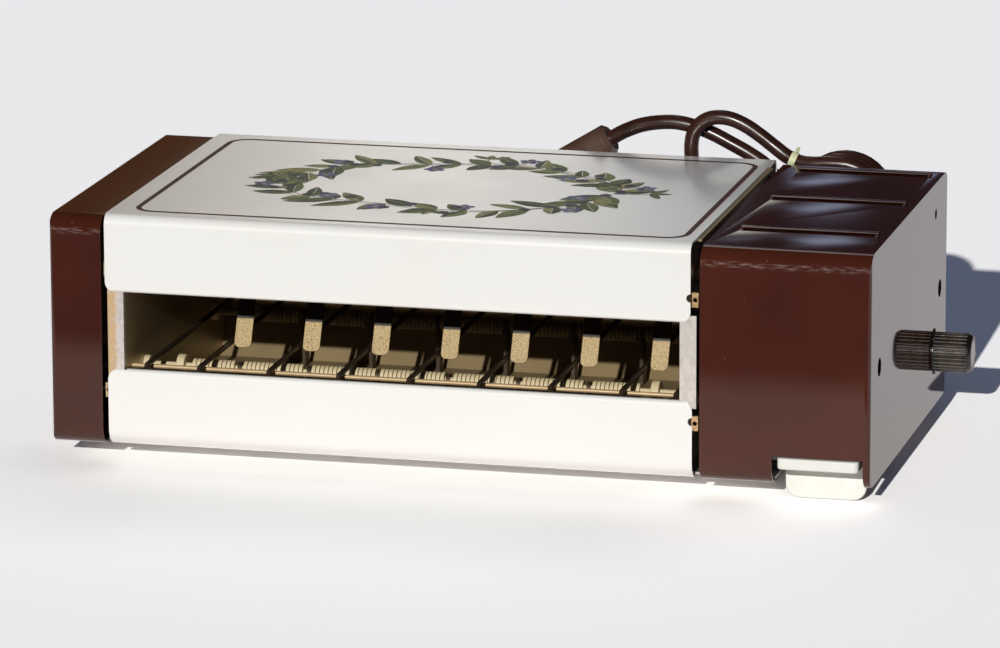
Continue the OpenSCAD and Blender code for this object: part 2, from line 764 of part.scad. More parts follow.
// Cream handle: a lip under the front, a tail to the arm and a plate that hangs down behind
module ejector_handle() {
    tail = arm_x + arm_t;
    drop = z_handle - plate_gap;
    color("#efeee6") place() {
        translate([handle_x, -handle_out, z_handle]) linear_extrude(handle_t)
            round_box(handle_w, handle_d, 3, 3, 0, 0);
        translate([tail, handle_y - 8, z_handle]) cube([handle_x - tail + e, 8, handle_t]);
        translate([handle_x, handle_y, plate_gap]) rotate([90, 0, 0]) linear_extrude(plate_t)
            round_box(handle_w, drop + e, plate_r, plate_r, 0, 0);
    }
}

// Guide rod of the ejector
module guide_rod() {
    color("#d2d4d5") place()
        bar_y(guide_x, bracket_y[0] - 3, z_slide, guide_d, bracket_y[1] - bracket_y[0] + bracket_t + 6, 48);
}

// Two angle brackets on the heat shield that hold the guide rod
module guide_brackets() {
    x = shield_x + sheet_t;
    w = guide_x - x + block_w / 2 - 1;
    color("#a9abab") place() for (y = bracket_y) difference() {
        union() {
            translate([x, y, z_slide - 9]) cube([w, bracket_t, 18]);
            translate([x, y - (y == bracket_y[0] ? 8 : -bracket_t), z_slide - 9]) cube([bracket_t, 8, 18]);
        }
        bar_y(guide_x, y - 1, z_slide, guide_d + 2 * fit, bracket_t + 2, 48);
    }
}

// Sheet between the chamber and the control housing's works
module heat_shield() {
    h = z_top - sheet_t - 2 - z_floor;
    color("#a9abab") place() difference() {
        translate([shield_x, hem_r + 2, z_floor]) cube([sheet_t, body_d - 2 * hem_r - 4, h]);
        translate([shield_x - 1, y_strip - slot_gap, z_strip - slot_gap])
            cube([sheet_t + 2, y_strip_back - y_strip + travel + 2 * slot_gap, strip_rise + 2 * slot_gap]);
        bar_x(shield_x - 1, y_heat[1] + 12, z_heat[0], 12, sheet_t + 2);
    }
}

// Control knob: grooved drum with a blind bore for the shaft
module knob() {
    rim = knob_d / 2 - 0.5;
    knob_edge = 2.7;
    color("#28221e") place() translate([knob_x, y_knob, z_knob]) rotate([0, 90, 0]) difference() {
        union() {
            linear_extrude(knob_l - knob_edge) difference() {
                circle(d = knob_d, $fn = 96);
                for (i = [0:knob_grooves - 1]) rotate(i * 360 / knob_grooves)
                    translate([knob_d / 2 + 0.3, 0]) circle(d = 1.5, $fn = 16);
            }
            translate([0, 0, knob_l - knob_edge - e]) rotate_extrude($fn = 96) polygon(concat([[0, 0]],
                [for (a = [0:15:90]) [rim - knob_edge * (1 - cos(a)), knob_edge * sin(a)]], [[0, knob_edge]]));
        }
        translate([0, 0, -1]) cylinder(d = shaft_d + 2 * shaft_gap, h = knob_l - 5, $fn = 48);
        translate([0, 0, knob_l - 1]) cylinder(d = knob_d - 7, h = 2, $fn = 64);
    }
}

// Grey disc in the knob's end
module knob_cap() {
    color("#8d8d8b") place() bar_x(knob_x + knob_l - 1, y_knob, z_knob, knob_d - 7.2, 0.8, 64);
}

// Thin washer on the housing with a small point above and below
module knob_washer() {
    tip = knob_d / 2 + 2;
    half = 5;
    root = knob_d / 2 - 3;
    color("#2f2925") place() translate([body_w, y_knob, z_knob]) rotate([90, 0, 90]) difference() {
        union() {
            cylinder(d = knob_d - 4, h = washer_t, $fn = 64);
            linear_extrude(washer_t)
                polygon([[-half, root], [0, tip], [half, root], [half, -root], [0, -tip], [-half, -root]]);
        }
        translate([0, 0, -1]) cylinder(d = shaft_d + 1, h = washer_t + 2, $fn = 48);
    }
}

// Timer shaft, turned by the knob
module timer_shaft() {
    back = body_w - sheet_t - timer_l + 12;
    color("#d2d4d5") place() bar_x(back, y_knob, z_knob, shaft_d, knob_x + knob_l - 6 - back, 48);
}

// Timer case with a collar that centres it in the housing's side
module timer_body() {
    x = body_w - sheet_t - timer_l;
    color("#c9bfa4") place() difference() {
        union() {
            along_x(x, timer_l) translate([y_knob - timer_s / 2, z_knob - timer_s / 2 + 4])
                round_box(timer_s, timer_s, 3, 3, 3, 3);
            bar_x(x + timer_l - 1, y_knob, z_knob, panel_hole_d - 2 * fit, sheet_t + 1, 48);
        }
        bar_x(x + 11, y_knob, z_knob, shaft_d + 2 * shaft_gap, timer_l, 48);
    }
}

// Bell on the timer's inner end
module timer_bell() {
    x = body_w - sheet_t - timer_l;
    color("#b9a15c") place() translate([x, y_knob, z_knob + 4]) rotate([0, -90, 0]) difference() {
        union() {
            cylinder(d = 6, h = 9, $fn = 32);
            translate([0, 0, 3]) cylinder(d1 = bell_d, d2 = bell_d - 10, h = 6, $fn = 64);
        }
        translate([0, 0, 2]) difference() {
            cylinder(d1 = bell_d - 1, d2 = bell_d - 12, h = 5.6, $fn = 64);
            cylinder(d = 6, h = 12, $fn = 32);
        }
    }
}

// Main switch beside the timer
module main_switch() {
    x = arm_x + arm_t + 8;
    color("#33302c") place() {
        translate([x, switch_y, z_floor]) cube([26, 28, 18]);
        for (i = [0, 1]) translate([x + 5 + i * 12, switch_y + 8, z_floor + 18]) cube([4, 10, 5]);
    }
}

// Terminal block for the mains lead
module terminal_block() {
    x = arm_x + arm_t + 4;
    y = body_d - 46;
    color("#e6dfcb") place() difference() {
        translate([x, y, z_floor]) cube([24, 16, 14]);
        for (i = [0:2]) translate([x + 4 + i * 8, y + 8, z_floor + 8]) cylinder(d = 4, h = 7, $fn = 24);
    }
}

// Insulated wires between the outlet, the terminals, the switch and the heaters
module wiring() {
    x = arm_x + arm_t + 4;
    y = body_d - 46;
    s = z_floor + 7;
    gap = y - switch_y - 28;
    mains = [[outlet_x, body_d - 8.1, outlet_z], [outlet_x - 1, body_d - 12, outlet_z - 4],
        [outlet_x - 4, body_d - 17, s + 1], [x + 38, y + 14, s], [x + 24, y + 8, s]];
    feed = [[x + 8, y, s], [x + 8, y - gap / 3, s], [x + 11, y - 2 * gap / 3, s], [x + 11, y - gap, s]];
    color("#d8d2c4") place() {
        tube(smooth(mains, 3), 4, 8, [0, -1, 0], [-1, 0, 0]);
        tube(smooth(feed, 3), 2.6, 8, [0, -1, 0], [0, -1, 0]);
    }
}

// Strain relief: neck in the wall, collar, and a tapered boot with ring grooves
module strain_relief() {
    color("#241a16") place() translate([outlet_x, body_d, outlet_z]) rotate([-90, 0, 0]) difference() {
        union() {
            translate([0, 0, -8]) cylinder(d = relief_neck_d, h = 8 + e, $fn = 48);
            translate([0, 0, -sheet_t - 3]) cylinder(d = relief_neck_d + 5, h = 3, $fn = 48);
            cylinder(d = relief_neck_d + 5, h = 3, $fn = 48);
            cylinder(d1 = relief_neck_d + 2, d2 = cord_d + 2, h = relief_l, $fn = 48);
        }
        for (i = [0:4]) translate([0, 0, 8 + i * 4.5]) difference() {
            cylinder(d = 20, h = 1.6, $fn = 48);
            translate([0, 0, -1]) cylinder(d = cord_d + 1.2, h = 4, $fn = 48);
        }
    }
}

// Point of a run-and-arc loop: the turn's share u starts at the bottom and goes up on the right
function loop_point(u) =
    u < 0.15 ? [hank_r * sin(u * 600), -hank_r * cos(u * 600)] :
    u < 0.35 ? [hank_r, (u - 0.15) / 0.2 * hank_run] :
    u < 0.65 ? [hank_r * cos((u - 0.35) * 600), hank_run + hank_r * sin((u - 0.35) * 600)] :
    u < 0.85 ? [-hank_r, (0.85 - u) / 0.2 * hank_run] :
    [-hank_r * cos((u - 0.85) * 600), -hank_r * sin((u - 0.85) * 600)];

// Point of the hank after a count of turns, each turn one step nearer the back
function hank_point(s) = let (q = loop_point(s - floor(s)))
    [hank_x + q[0], hank_y + hank_step * (hank_turns - s), hank_low + q[1]];
hank_shares = [0, 0.03, 0.06, 0.09, 0.12, 0.15, 0.2, 0.25, 0.3, 0.35, 0.38, 0.41, 0.44, 0.47, 0.5,
    0.53, 0.56, 0.59, 0.62, 0.65, 0.7, 0.8, 0.85, 0.88, 0.91, 0.94, 0.97];
hank_first = hank_point(0) - [hank_end, 0, 0];
hank_last = hank_point(hank_turns) - [hank_end, 0, 0];
hank_route = concat([hank_first], [for (t = [0:hank_turns]) for (u = hank_shares)
    if (t + u <= hank_turns) hank_point(t + u)], [hank_last]);
hank_test = [for (s = [0:0.01:hank_turns]) hank_point(s)];
least_gap = min([for (i = [0:len(hank_test) - 1]) for (j = [i + 30:1:len(hank_test) - 1])
    norm(hank_test[i] - hank_test[j])]) - cord_d;
echo(least_gap_in_the_hank = least_gap);

// First free stretch, from the strain relief over the table to the hank
module cord_lead() {
    route = concat([for (p = lead_points) behind(p)], [hank_first]);
    color("#3a251c") place() tube(smooth(route, 2), cord_d, 10, [0, 1, 0], [1, 0, 0]);
}

// Put-away cord: two and a half long loops, as one unbroken tube
module cord_hank() {
    color("#3a251c") place() tube(hank_route, cord_d, 6, [1, 0, 0], [-1, 0, 0]);
}

// Second free stretch, from the hank in a high loop to the plug
module cord_tail() {
    route = concat([hank_last], [for (p = tail_points) behind(p)], [behind(plug_at)]);
    color("#3a251c") place() tube(smooth(route, 2), cord_d, 10, [-1, 0, 0],
        [sin(plug_turn), 0, cos(plug_turn)]);
}

// Twist tie round the cord beside the hank
module cord_tie() {
    color("#c9cf8e") place() translate(behind(tie_at)) rotate([0, tie_turn, 0]) {
        translate([0, 0, -tie_w / 2]) difference() {
            cylinder(d = cord_d + 2.4, h = tie_w, $fn = 40);
            translate([0, 0, -1]) cylinder(d = cord_d + 0.8, h = tie_w + 2, $fn = 40);
        }
        translate([cord_d / 2 + 0.8, 0, 0]) rotate([0, 90, 0]) cylinder(d = 2.2, h = 6, $fn = 20);
    }
}

// Stands its children on the plug's axis, which points down and to the left
module on_plug() {
    translate(behind(plug_at)) rotate([0, plug_turn, 0]) children();
}

// Sleeve of the plug, with a bevelled edge towards the cord
module plug_sleeve() {
    sleeve_edge = 2;
    color("#2b1d17") place() on_plug() union() {
        cylinder(d1 = sleeve_d - 2 * sleeve_edge, d2 = sleeve_d, h = sleeve_edge, $fn = 48);
        translate([0, 0, sleeve_edge - e]) cylinder(d = sleeve_d, h = sleeve_l - sleeve_edge + e, $fn = 48);
    }
}

// Moulded round plug with grip flats
module plug_body() {
    r = plug_d / 2;
    color("#2b1d17") place() on_plug() translate([0, 0, sleeve_l]) difference() {
        rotate_extrude($fn = 72)
            polygon([[0, 0], [sleeve_d / 2, 0], [r - 5, 10], [r - 4, 22], [r, 25], [r, plug_l], [0, plug_l]]);
        for (side = [-1, 1]) translate([side * (r + 1), 0, 12]) rotate([90, 0, 0])
            cylinder(d = 14, h = plug_d, center = true, $fn = 48);
    }
}

// Two round contact pins
module plug_pins() {
    color("#d2d4d5") place() on_plug() for (side = [-1, 1])
        translate([0, side * pin_pitch / 2, sleeve_l + plug_l]) {
            cylinder(d = 4.8, h = 17, $fn = 32);
            translate([0, 0, 17 - e]) cylinder(d1 = 4.8, d2 = 3, h = 2, $fn = 32);
        }
}

left_end_cap();
control_housing();
upper_cover();
lower_cover();
rear_panel();
base_plate();
feet();
foot_screws();
left_side_plate();
right_side_plate();
rear_reflector();
lower_reflector();
upper_reflector();
toast_grid();
grid_cross_rods();
lower_heater_front();
lower_heater_rear();
upper_heater_front();
upper_heater_rear();
heater_collars();
wall_bushings();
heater_supports_low();
heater_supports_high();
heater_links();
ejector_comb();
slide_block();
ejector_arm();
ejector_handle();
guide_rod();
guide_brackets();
heat_shield();
knob();
knob_cap();
knob_washer();
timer_shaft();
timer_body();
timer_bell();
main_switch();
terminal_block();
wiring();
strain_relief();
cord_lead();
cord_hank();
cord_tail();
cord_tie();
plug_sleeve();
plug_body();
plug_pins();
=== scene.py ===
"""A low front-loading toaster with cream enamel covers and brown end caps, standing on a pale table."""
import json
import math
import random

import bmesh
import bpy
from mathutils import Matrix, Vector

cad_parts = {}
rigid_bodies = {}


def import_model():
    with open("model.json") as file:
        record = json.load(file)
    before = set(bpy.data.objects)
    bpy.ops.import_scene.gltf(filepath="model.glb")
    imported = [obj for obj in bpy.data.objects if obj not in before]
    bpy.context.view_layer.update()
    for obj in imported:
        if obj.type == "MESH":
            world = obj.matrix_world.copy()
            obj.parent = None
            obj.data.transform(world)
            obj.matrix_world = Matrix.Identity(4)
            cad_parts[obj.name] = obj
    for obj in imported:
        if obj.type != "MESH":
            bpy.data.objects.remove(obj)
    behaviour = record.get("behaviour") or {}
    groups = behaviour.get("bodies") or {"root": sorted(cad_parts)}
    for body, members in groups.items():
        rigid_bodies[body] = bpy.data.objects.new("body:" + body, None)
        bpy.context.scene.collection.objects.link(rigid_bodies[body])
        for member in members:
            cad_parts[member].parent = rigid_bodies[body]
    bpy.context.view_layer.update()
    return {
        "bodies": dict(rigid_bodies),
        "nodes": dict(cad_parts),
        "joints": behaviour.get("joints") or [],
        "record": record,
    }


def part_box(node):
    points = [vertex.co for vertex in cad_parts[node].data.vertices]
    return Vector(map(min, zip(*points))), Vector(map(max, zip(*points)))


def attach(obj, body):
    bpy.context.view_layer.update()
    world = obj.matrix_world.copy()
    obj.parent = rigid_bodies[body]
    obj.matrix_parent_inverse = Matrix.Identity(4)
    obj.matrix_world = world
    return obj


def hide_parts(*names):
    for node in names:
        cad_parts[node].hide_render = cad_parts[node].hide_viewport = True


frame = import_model()

# Camera, at the height and distance that the photograph's perspective gives.
# Places are millimetres from the left cap's face, the brown front and the table.
LEFT_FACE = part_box("left_end_cap")[0].x
BROWN_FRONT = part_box("left_end_cap")[0].y
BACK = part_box("left_end_cap")[1].y


def at(x, y, z):
    """A point in the row frame, in metres, from millimetres off the toaster's left, front and table."""
    return Vector((LEFT_FACE + x / 1000, BROWN_FRONT + y / 1000, z / 1000))


camera_turn = 0.24418
camera_down = 0.23265
camera_roll = -0.00287
camera = bpy.data.objects.new("camera", bpy.data.cameras.new("camera"))
bpy.context.scene.collection.objects.link(camera)
camera.data.lens = 234.204
camera.data.sensor_width = 36
camera.data.clip_end = 50
camera.matrix_world = (
    Matrix.Translation(at(1061.83, -3257.25, 887.45))
    @ Matrix.Rotation(camera_turn, 4, "Z")
    @ Matrix.Rotation(math.pi / 2 - camera_down, 4, "X")
    @ Matrix.Rotation(camera_roll, 4, "Z")
)
bpy.context.scene.camera = camera
bpy.context.scene.view_settings.view_transform = "Standard"


# Power cord: dark brown PVC flex, 8.3 mm, in one length from the strain relief to the plug.
# It runs over the table, through two and a half long put-away loops and up in a high loop.
cord_width = 8.3
behind = (BACK - BROWN_FRONT) * 1000
lead_points = [
    (432, 32, 34), (432, 43, 32.6), (430.5, 57, 27), (423.5, 71, 18), (411, 81, 10.5), (396, 85.5, 6),
    (380, 85.5, 4.25), (365, 81.5, 4.25), (354, 70.5, 4.25), (350, 55.5, 4.25), (353.5, 41.5, 4.25),
    (363, 30.5, 4.25),
]
tail_points = [
    (372.5, 5, 137), (365, 6, 137.3), (357.5, 7.2, 140), (350, 8.2, 145), (342, 8.5, 150.8),
    (333.5, 8.5, 156.2), (325, 8.5, 159.6), (316.5, 8.5, 160.2), (309.3, 8.5, 157.6), (304.4, 8.5, 152.2),
    (302.5, 8.5, 145), (302.8, 8.8, 135), (305, 10, 124), (309.5, 12, 113), (317.5, 14.5, 104.5),
    (328.5, 17, 101), (339.5, 18.7, 104.5), (347, 19.4, 113), (348.5, 19.5, 122.5), (343.5, 19.5, 131),
    (334.5, 19.5, 137.3), (323, 19.5, 143.3), (311, 19.5, 149), (299, 19.5, 152.8), (287, 19.5, 154),
    (273, 19.5, 152), (262, 19.5, 147.8),
]
plug_at = (254, 19.5, 143.2)
tie_at = (361, 6.6, 138.4)
hank_turns = 2.5
hank_x, hank_y, hank_step = 388, cord_width / 2 + 0.7, cord_width + 1
hank_radius = 24
hank_low = cord_width / 2 + 0.5 + hank_radius
hank_run = 133 - 2 * hank_radius
hank_end = 8


def colour(hex6):
    """An sRGB hex colour as linear RGBA."""
    parts = [int(hex6[i:i + 2], 16) / 255 for i in (0, 2, 4)]
    return [p / 12.92 if p <= 0.04045 else ((p + 0.055) / 1.055) ** 2.4 for p in parts] + [1.0]


def add(tree, kind, links=None, **settings):
    """Adds a node; links gives its inputs a socket or a value by name or number."""
    made = tree.nodes.new(kind)
    for key, value in settings.items():
        setattr(made, key, value)
    for key, value in (links or {}).items():
        if isinstance(value, bpy.types.NodeSocket):
            tree.links.new(value, made.inputs[key])
        else:
            made.inputs[key].default_value = value
    return made


def finish_of(name, **sockets):
    """A new material with its node tree and its principled shader, some sockets already set."""
    material = bpy.data.materials.new(name)
    material.use_nodes = True
    tree = material.node_tree
    shader = tree.nodes["Principled BSDF"]
    for key, value in sockets.items():
        shader.inputs[key.replace("_", " ")].default_value = value
    return material, tree, shader


def toned(tree, shader, low, high, scale, detail=4.0):
    """Base colour that drifts between two tones with a noise; returns the object coordinates and the noise."""
    spot = add(tree, "ShaderNodeTexCoord").outputs["Object"]
    cloud = add(tree, "ShaderNodeTexNoise", {"Vector": spot, "Scale": scale, "Detail": detail})
    tint = add(tree, "ShaderNodeValToRGB", {"Fac": cloud.outputs["Fac"]})
    tint.color_ramp.elements[0].position, tint.color_ramp.elements[1].position = 0.3, 0.7
    tint.color_ramp.elements[0].color = colour(low)
    tint.color_ramp.elements[1].color = colour(high)
    tree.links.new(tint.outputs["Color"], shader.inputs["Base Color"])
    return spot, cloud


def grained(tree, shader, spot, scale, strength, depth):
    """Fine bump in the surface; depth is in metres."""
    grain = add(tree, "ShaderNodeTexNoise", {"Vector": spot, "Scale": scale, "Detail": 3.0})
    dent = add(tree, "ShaderNodeBump", {"Height": grain.outputs["Fac"], "Strength": strength, "Distance": depth})
    tree.links.new(dent.outputs["Normal"], shader.inputs["Normal"])


def dulled(tree, shader, cloud, least, most):
    """Roughness that follows a noise."""
    dull = add(tree, "ShaderNodeMapRange", {0: cloud.outputs["Fac"], 1: 0.3, 2: 0.7, 3: least, 4: most})
    tree.links.new(dull.outputs[0], shader.inputs["Roughness"])


def smooth_route(points, steps):
    """Points on a smooth curve through the given ones."""
    last = len(points) - 1
    route = []
    for i in range(last):
        a, b, c, d = (Vector(points[min(max(k, 0), last)]) for k in (i - 1, i, i + 1, i + 2))
        for j in range(steps):
            t = j / steps
            route.append(0.5 * (2 * b + (c - a) * t + (2 * a - 5 * b + 4 * c - d) * t * t
                                + (3 * b - a - 3 * c + d) * t ** 3))
    return route + [Vector(points[last])]


def hank_point(turn):
    """Point of the hank after a count of turns, each turn one step nearer the back."""
    u = turn - math.floor(turn)
    r = hank_radius
    if u < 0.15:
        x, z = r * math.sin(math.radians(u * 600)), -r * math.cos(math.radians(u * 600))
    elif u < 0.35:
        x, z = r, (u - 0.15) / 0.2 * hank_run
    elif u < 0.65:
        turned = math.radians((u - 0.35) * 600)
        x, z = r * math.cos(turned), hank_run + r * math.sin(turned)
    elif u < 0.85:
        x, z = -r, (0.85 - u) / 0.2 * hank_run
    else:
        turned = math.radians((u - 0.85) * 600)
        x, z = -r * math.cos(turned), -r * math.sin(turned)
    return Vector((hank_x + x, hank_y + hank_step * (hank_turns - turn), hank_low + z))


hank_first = hank_point(0) - Vector((hank_end, 0, 0))
hank_last = hank_point(hank_turns - 1e-9) - Vector((hank_end, 0, 0))
lead = smooth_route(lead_points + [tuple(hank_first)], 6)
hank = [hank_point(i / 60) for i in range(int(hank_turns * 60))] + [hank_point(hank_turns - 1e-9)]
tail = smooth_route([tuple(hank_last)] + tail_points + [plug_at], 6)
cord_route = [at(p[0], behind + p[1], p[2]) for p in lead + hank + tail]
cord_line = bpy.data.curves.new("power_cord", "CURVE")
cord_line.dimensions = "3D"
spline = cord_line.splines.new("POLY")
spline.points.add(len(cord_route) - 1)
for spot, place in zip(spline.points, cord_route):
    spot.co = (*place, 1)
cord_line.bevel_depth = cord_width / 2000
cord_line.bevel_resolution = 5
cord_line.use_fill_caps = True
power_cord = bpy.data.objects.new("power_cord", cord_line)
bpy.context.scene.collection.objects.link(power_cord)

cord_pvc, tree, shader = finish_of("cord_pvc_moulded", IOR=1.5)
spot, cloud = toned(tree, shader, "261510", "3a221a", 60.0)
dulled(tree, shader, cloud, 0.2, 0.34)
grained(tree, shader, spot, 900.0, 0.06, 0.0004)
power_cord.data.materials.append(cord_pvc)
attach(power_cord, "housing")
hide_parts("cord_lead", "cord_hank", "cord_tail")


def softened(node, material, edge=0.25, sharp=35, segments=2, also=()):
    """A copy of a CAD node with its doubles merged and its sharp edges rounded; edge is in millimetres."""
    source = frame["nodes"][node]
    mesh = bmesh.new()
    mesh.from_mesh(source.data)
    bmesh.ops.remove_doubles(mesh, verts=mesh.verts, dist=2e-6)
    bmesh.ops.dissolve_limit(mesh, angle_limit=math.radians(0.4), verts=mesh.verts, edges=mesh.edges)
    if edge:
        corners = [e for e in mesh.edges if len(e.link_faces) == 2 and e.calc_face_angle() > math.radians(sharp)]
        bmesh.ops.bevel(mesh, geom=corners, offset=edge / 1000, offset_type="OFFSET", segments=segments,
                        profile=0.5, affect="EDGES", clamp_overlap=True, material=-1)
    return made_piece(node + "_finish", mesh, material, frame["node_body"][node], (node, *also))


def made_piece(name, mesh, material, body, nodes=(), smooth=35):
    """Turns a bmesh into a piece that rides on a body and stands for some CAD nodes."""
    data = bpy.data.meshes.new(name)
    mesh.to_mesh(data)
    mesh.free()
    for face in data.polygons:
        face.use_smooth = True
    data.set_sharp_from_angle(angle=math.radians(smooth))
    piece = bpy.data.objects.new(name, data)
    bpy.context.scene.collection.objects.link(piece)
    piece.data.materials.append(material)
    flats = piece.modifiers.new("flats_stay_flat", "WEIGHTED_NORMAL")
    flats.keep_sharp = True
    flats.weight = 60
    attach(piece, body)
    if nodes:
        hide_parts(*nodes)
    return piece


def dress(node, material):
    """Gives a CAD node another material and leaves its mesh alone."""
    piece = frame["nodes"][node]
    for holder in piece.material_slots:
        holder.material = material
    if not piece.material_slots:
        piece.data.materials.append(material)


frame["node_body"] = {n: body for body, nodes in frame["record"]["behaviour"]["bodies"].items() for n in nodes}

# Plug, its sleeve and the strain relief: the same dark brown PVC, moulded on the cord, a little duller.
# The two pins are nickel-plated brass.
plug_pvc, tree, shader = finish_of("plug_pvc_moulded", IOR=1.5)
spot, cloud = toned(tree, shader, "45322a", "604b40", 90.0)
dulled(tree, shader, cloud, 0.2, 0.3)
grained(tree, shader, spot, 1500.0, 0.12, 0.0003)
plug_pieces = [softened(n, plug_pvc, edge=0.5) for n in ("plug_sleeve", "plug_body")]
softened("strain_relief", plug_pvc, edge=0.3)

nickel, tree, shader = finish_of("nickel_plated_turned", Metallic=1.0)
spot, cloud = toned(tree, shader, "bcbcba", "d6d6d4", 300.0)
dulled(tree, shader, cloud, 0.16, 0.3)
plug_pieces.append(softened("plug_pins", nickel, edge=0.3))

# Twist tie: a pale green paper strip with a wire core, once round the cord, its ends twisted together.
tie_paper, tree, shader = finish_of("tie_paper_waxed", Roughness=0.5)
spot, cloud = toned(tree, shader, "c9cf9c", "e3e5c0", 800.0)
grained(tree, shader, spot, 2500.0, 0.2, 0.0002)
mesh = bmesh.new()
tie_place = (Matrix.Translation(at(tie_at[0], behind + tie_at[1], tie_at[2]))
             @ Matrix.Rotation(math.radians(-68), 4, "Y"))
bmesh.ops.create_circle(mesh, segments=40, radius=0.0047)
band = bmesh.ops.extrude_edge_only(mesh, edges=mesh.edges[:])["geom"]
bmesh.ops.translate(mesh, vec=(0, 0, 0.0036), verts=[v for v in band if isinstance(v, bmesh.types.BMVert)])
bmesh.ops.translate(mesh, vec=(0, 0, -0.0018), verts=mesh.verts)
bmesh.ops.recalc_face_normals(mesh, faces=mesh.faces)
bmesh.ops.solidify(mesh, geom=mesh.faces[:], thickness=0.0004)
tail_length = 0.003
for side in (0, 1):
    strip = bmesh.ops.create_grid(mesh, x_segments=1, y_segments=12, size=0.5,
                                  matrix=Matrix.Diagonal((0.0022, tail_length, 1, 1)))["verts"]
    for v in strip:
        along = v.co.y + tail_length / 2
        turn = along / tail_length * 1.5 * math.pi + side * math.pi / 2
        v.co = Vector((0.0048 + along, v.co.x * math.cos(turn), v.co.x * math.sin(turn)))
    bmesh.ops.solidify(mesh, geom=list({f for v in strip for f in v.link_faces}), thickness=0.0003)
bmesh.ops.recalc_face_normals(mesh, faces=mesh.faces)
bmesh.ops.transform(mesh, matrix=tie_place, verts=mesh.verts)
twist_tie = made_piece("twist_tie", mesh, tie_paper, "housing", ("cord_tie",))

# Table and light: a pale matt surface, with painted shade and painted reflections, and plain studio light.
# One lamp stands low in front, a little to the right, and the surroundings fill in.
# For reflections the room is darker ahead and behind, with a few soft bluish lights.
mesh = bmesh.new()
bmesh.ops.create_grid(mesh, x_segments=1, y_segments=1, size=7)
table_top = bpy.data.objects.new("table_top", bpy.data.meshes.new("table_top"))
mesh.to_mesh(table_top.data)
mesh.free()
bpy.context.scene.collection.objects.link(table_top)
paper, tree, shader = finish_of("table_paper_white", Roughness=0.9)
spot = add(tree, "ShaderNodeTexCoord").outputs["Object"]
split = add(tree, "ShaderNodeSeparateXYZ", {"Vector": spot})
path = add(tree, "ShaderNodeLightPath")
# Seen only in reflections, the table is warmer within 20 mm of the front and dark from 225 to 310 mm ahead: painted
# reflections.
near, far = at(0, -225, 0).y, at(0, -310, 0).y
ahead = add(tree, "ShaderNodeMapRange", {0: split.outputs["Y"], 1: near, 2: far, 3: 0.0, 4: 0.92},
            interpolation_type="SMOOTHSTEP")
behind_it = add(tree, "ShaderNodeMapRange", {0: split.outputs["Y"], 1: at(0, -20, 0).y, 2: at(0, 20, 0).y})
nearby = add(tree, "ShaderNodeMix", {"Factor": behind_it.outputs[0], 6: (2.8, 2.15, 1.85, 1),
                                     7: (2.22, 2.10, 2.06, 1)}, data_type="RGBA")
painted_reflection = add(tree, "ShaderNodeMix", {"Factor": ahead.outputs[0], 6: nearby.outputs[2],
                                    7: (0.1, 0.1, 0.1, 1)}, data_type="RGBA")
pale = add(tree, "ShaderNodeMix", {"Factor": path.outputs["Is Glossy Ray"], 6: (0.80, 0.80, 0.81, 1)},
           data_type="RGBA")
tree.links.new(painted_reflection.outputs[2], pale.inputs[7])
# To the camera the table is painted darker ahead of and under the front: painted shade that offsets the light the
# cream covers bounce onto it.
evened = add(tree, "ShaderNodeMapRange", {0: split.outputs["Y"], 1: at(0, -190, 0).y, 2: at(0, -10, 0).y},
             interpolation_type="SMOOTHSTEP")
under = add(tree, "ShaderNodeMapRange", {0: split.outputs["Y"], 1: at(0, 60, 0).y, 2: at(0, 20, 0).y},
            interpolation_type="SMOOTHSTEP")
leftmost = add(tree, "ShaderNodeMapRange", {0: split.outputs["X"], 1: at(-70, 0, 0).x, 2: at(70, 0, 0).x},
               interpolation_type="SMOOTHSTEP")
rightmost = add(tree, "ShaderNodeMapRange", {0: split.outputs["X"], 1: at(420, 0, 0).x, 2: at(300, 0, 0).x},
                interpolation_type="SMOOTHSTEP")
across = add(tree, "ShaderNodeMath", {0: leftmost.outputs[0], 1: rightmost.outputs[0]}, operation="MULTIPLY")
ahead_only = add(tree, "ShaderNodeMath", {0: evened.outputs[0], 1: under.outputs[0]}, operation="MULTIPLY")
painted_shade_zone = add(tree, "ShaderNodeMath", {0: ahead_only.outputs[0], 1: across.outputs[0]}, operation="MULTIPLY")
floor_painted_shade = add(tree, "ShaderNodeMix", {"Factor": painted_shade_zone.outputs[0], 6: (2.18, 2.16, 2.13, 1), 7: (1.52, 1.51, 1.49, 1)},
           data_type="RGBA")
seen = add(tree, "ShaderNodeMix", {"Factor": path.outputs["Is Camera Ray"]}, data_type="RGBA")
tree.links.new(pale.outputs[2], seen.inputs[6])
tree.links.new(floor_painted_shade.outputs[2], seen.inputs[7])
matt = add(tree, "ShaderNodeBsdfDiffuse", {"Color": seen.outputs[2]})
tree.links.new(matt.outputs[0], tree.nodes["Material Output"].inputs["Surface"])
table_top.data.materials.append(paper)

lamp_up = math.radians(20.8)
lamp_right = math.radians(1.5)
lamp = bpy.data.objects.new("front_lamp", bpy.data.lights.new("front_lamp", "SUN"))
lamp.data.energy = 2.95
lamp.data.angle = math.radians(0.7)
lamp.data.color = (1.0, 0.985, 0.95)
lamp.rotation_euler = (math.pi / 2 - lamp_up, 0, lamp_right)
bpy.context.scene.collection.objects.link(lamp)

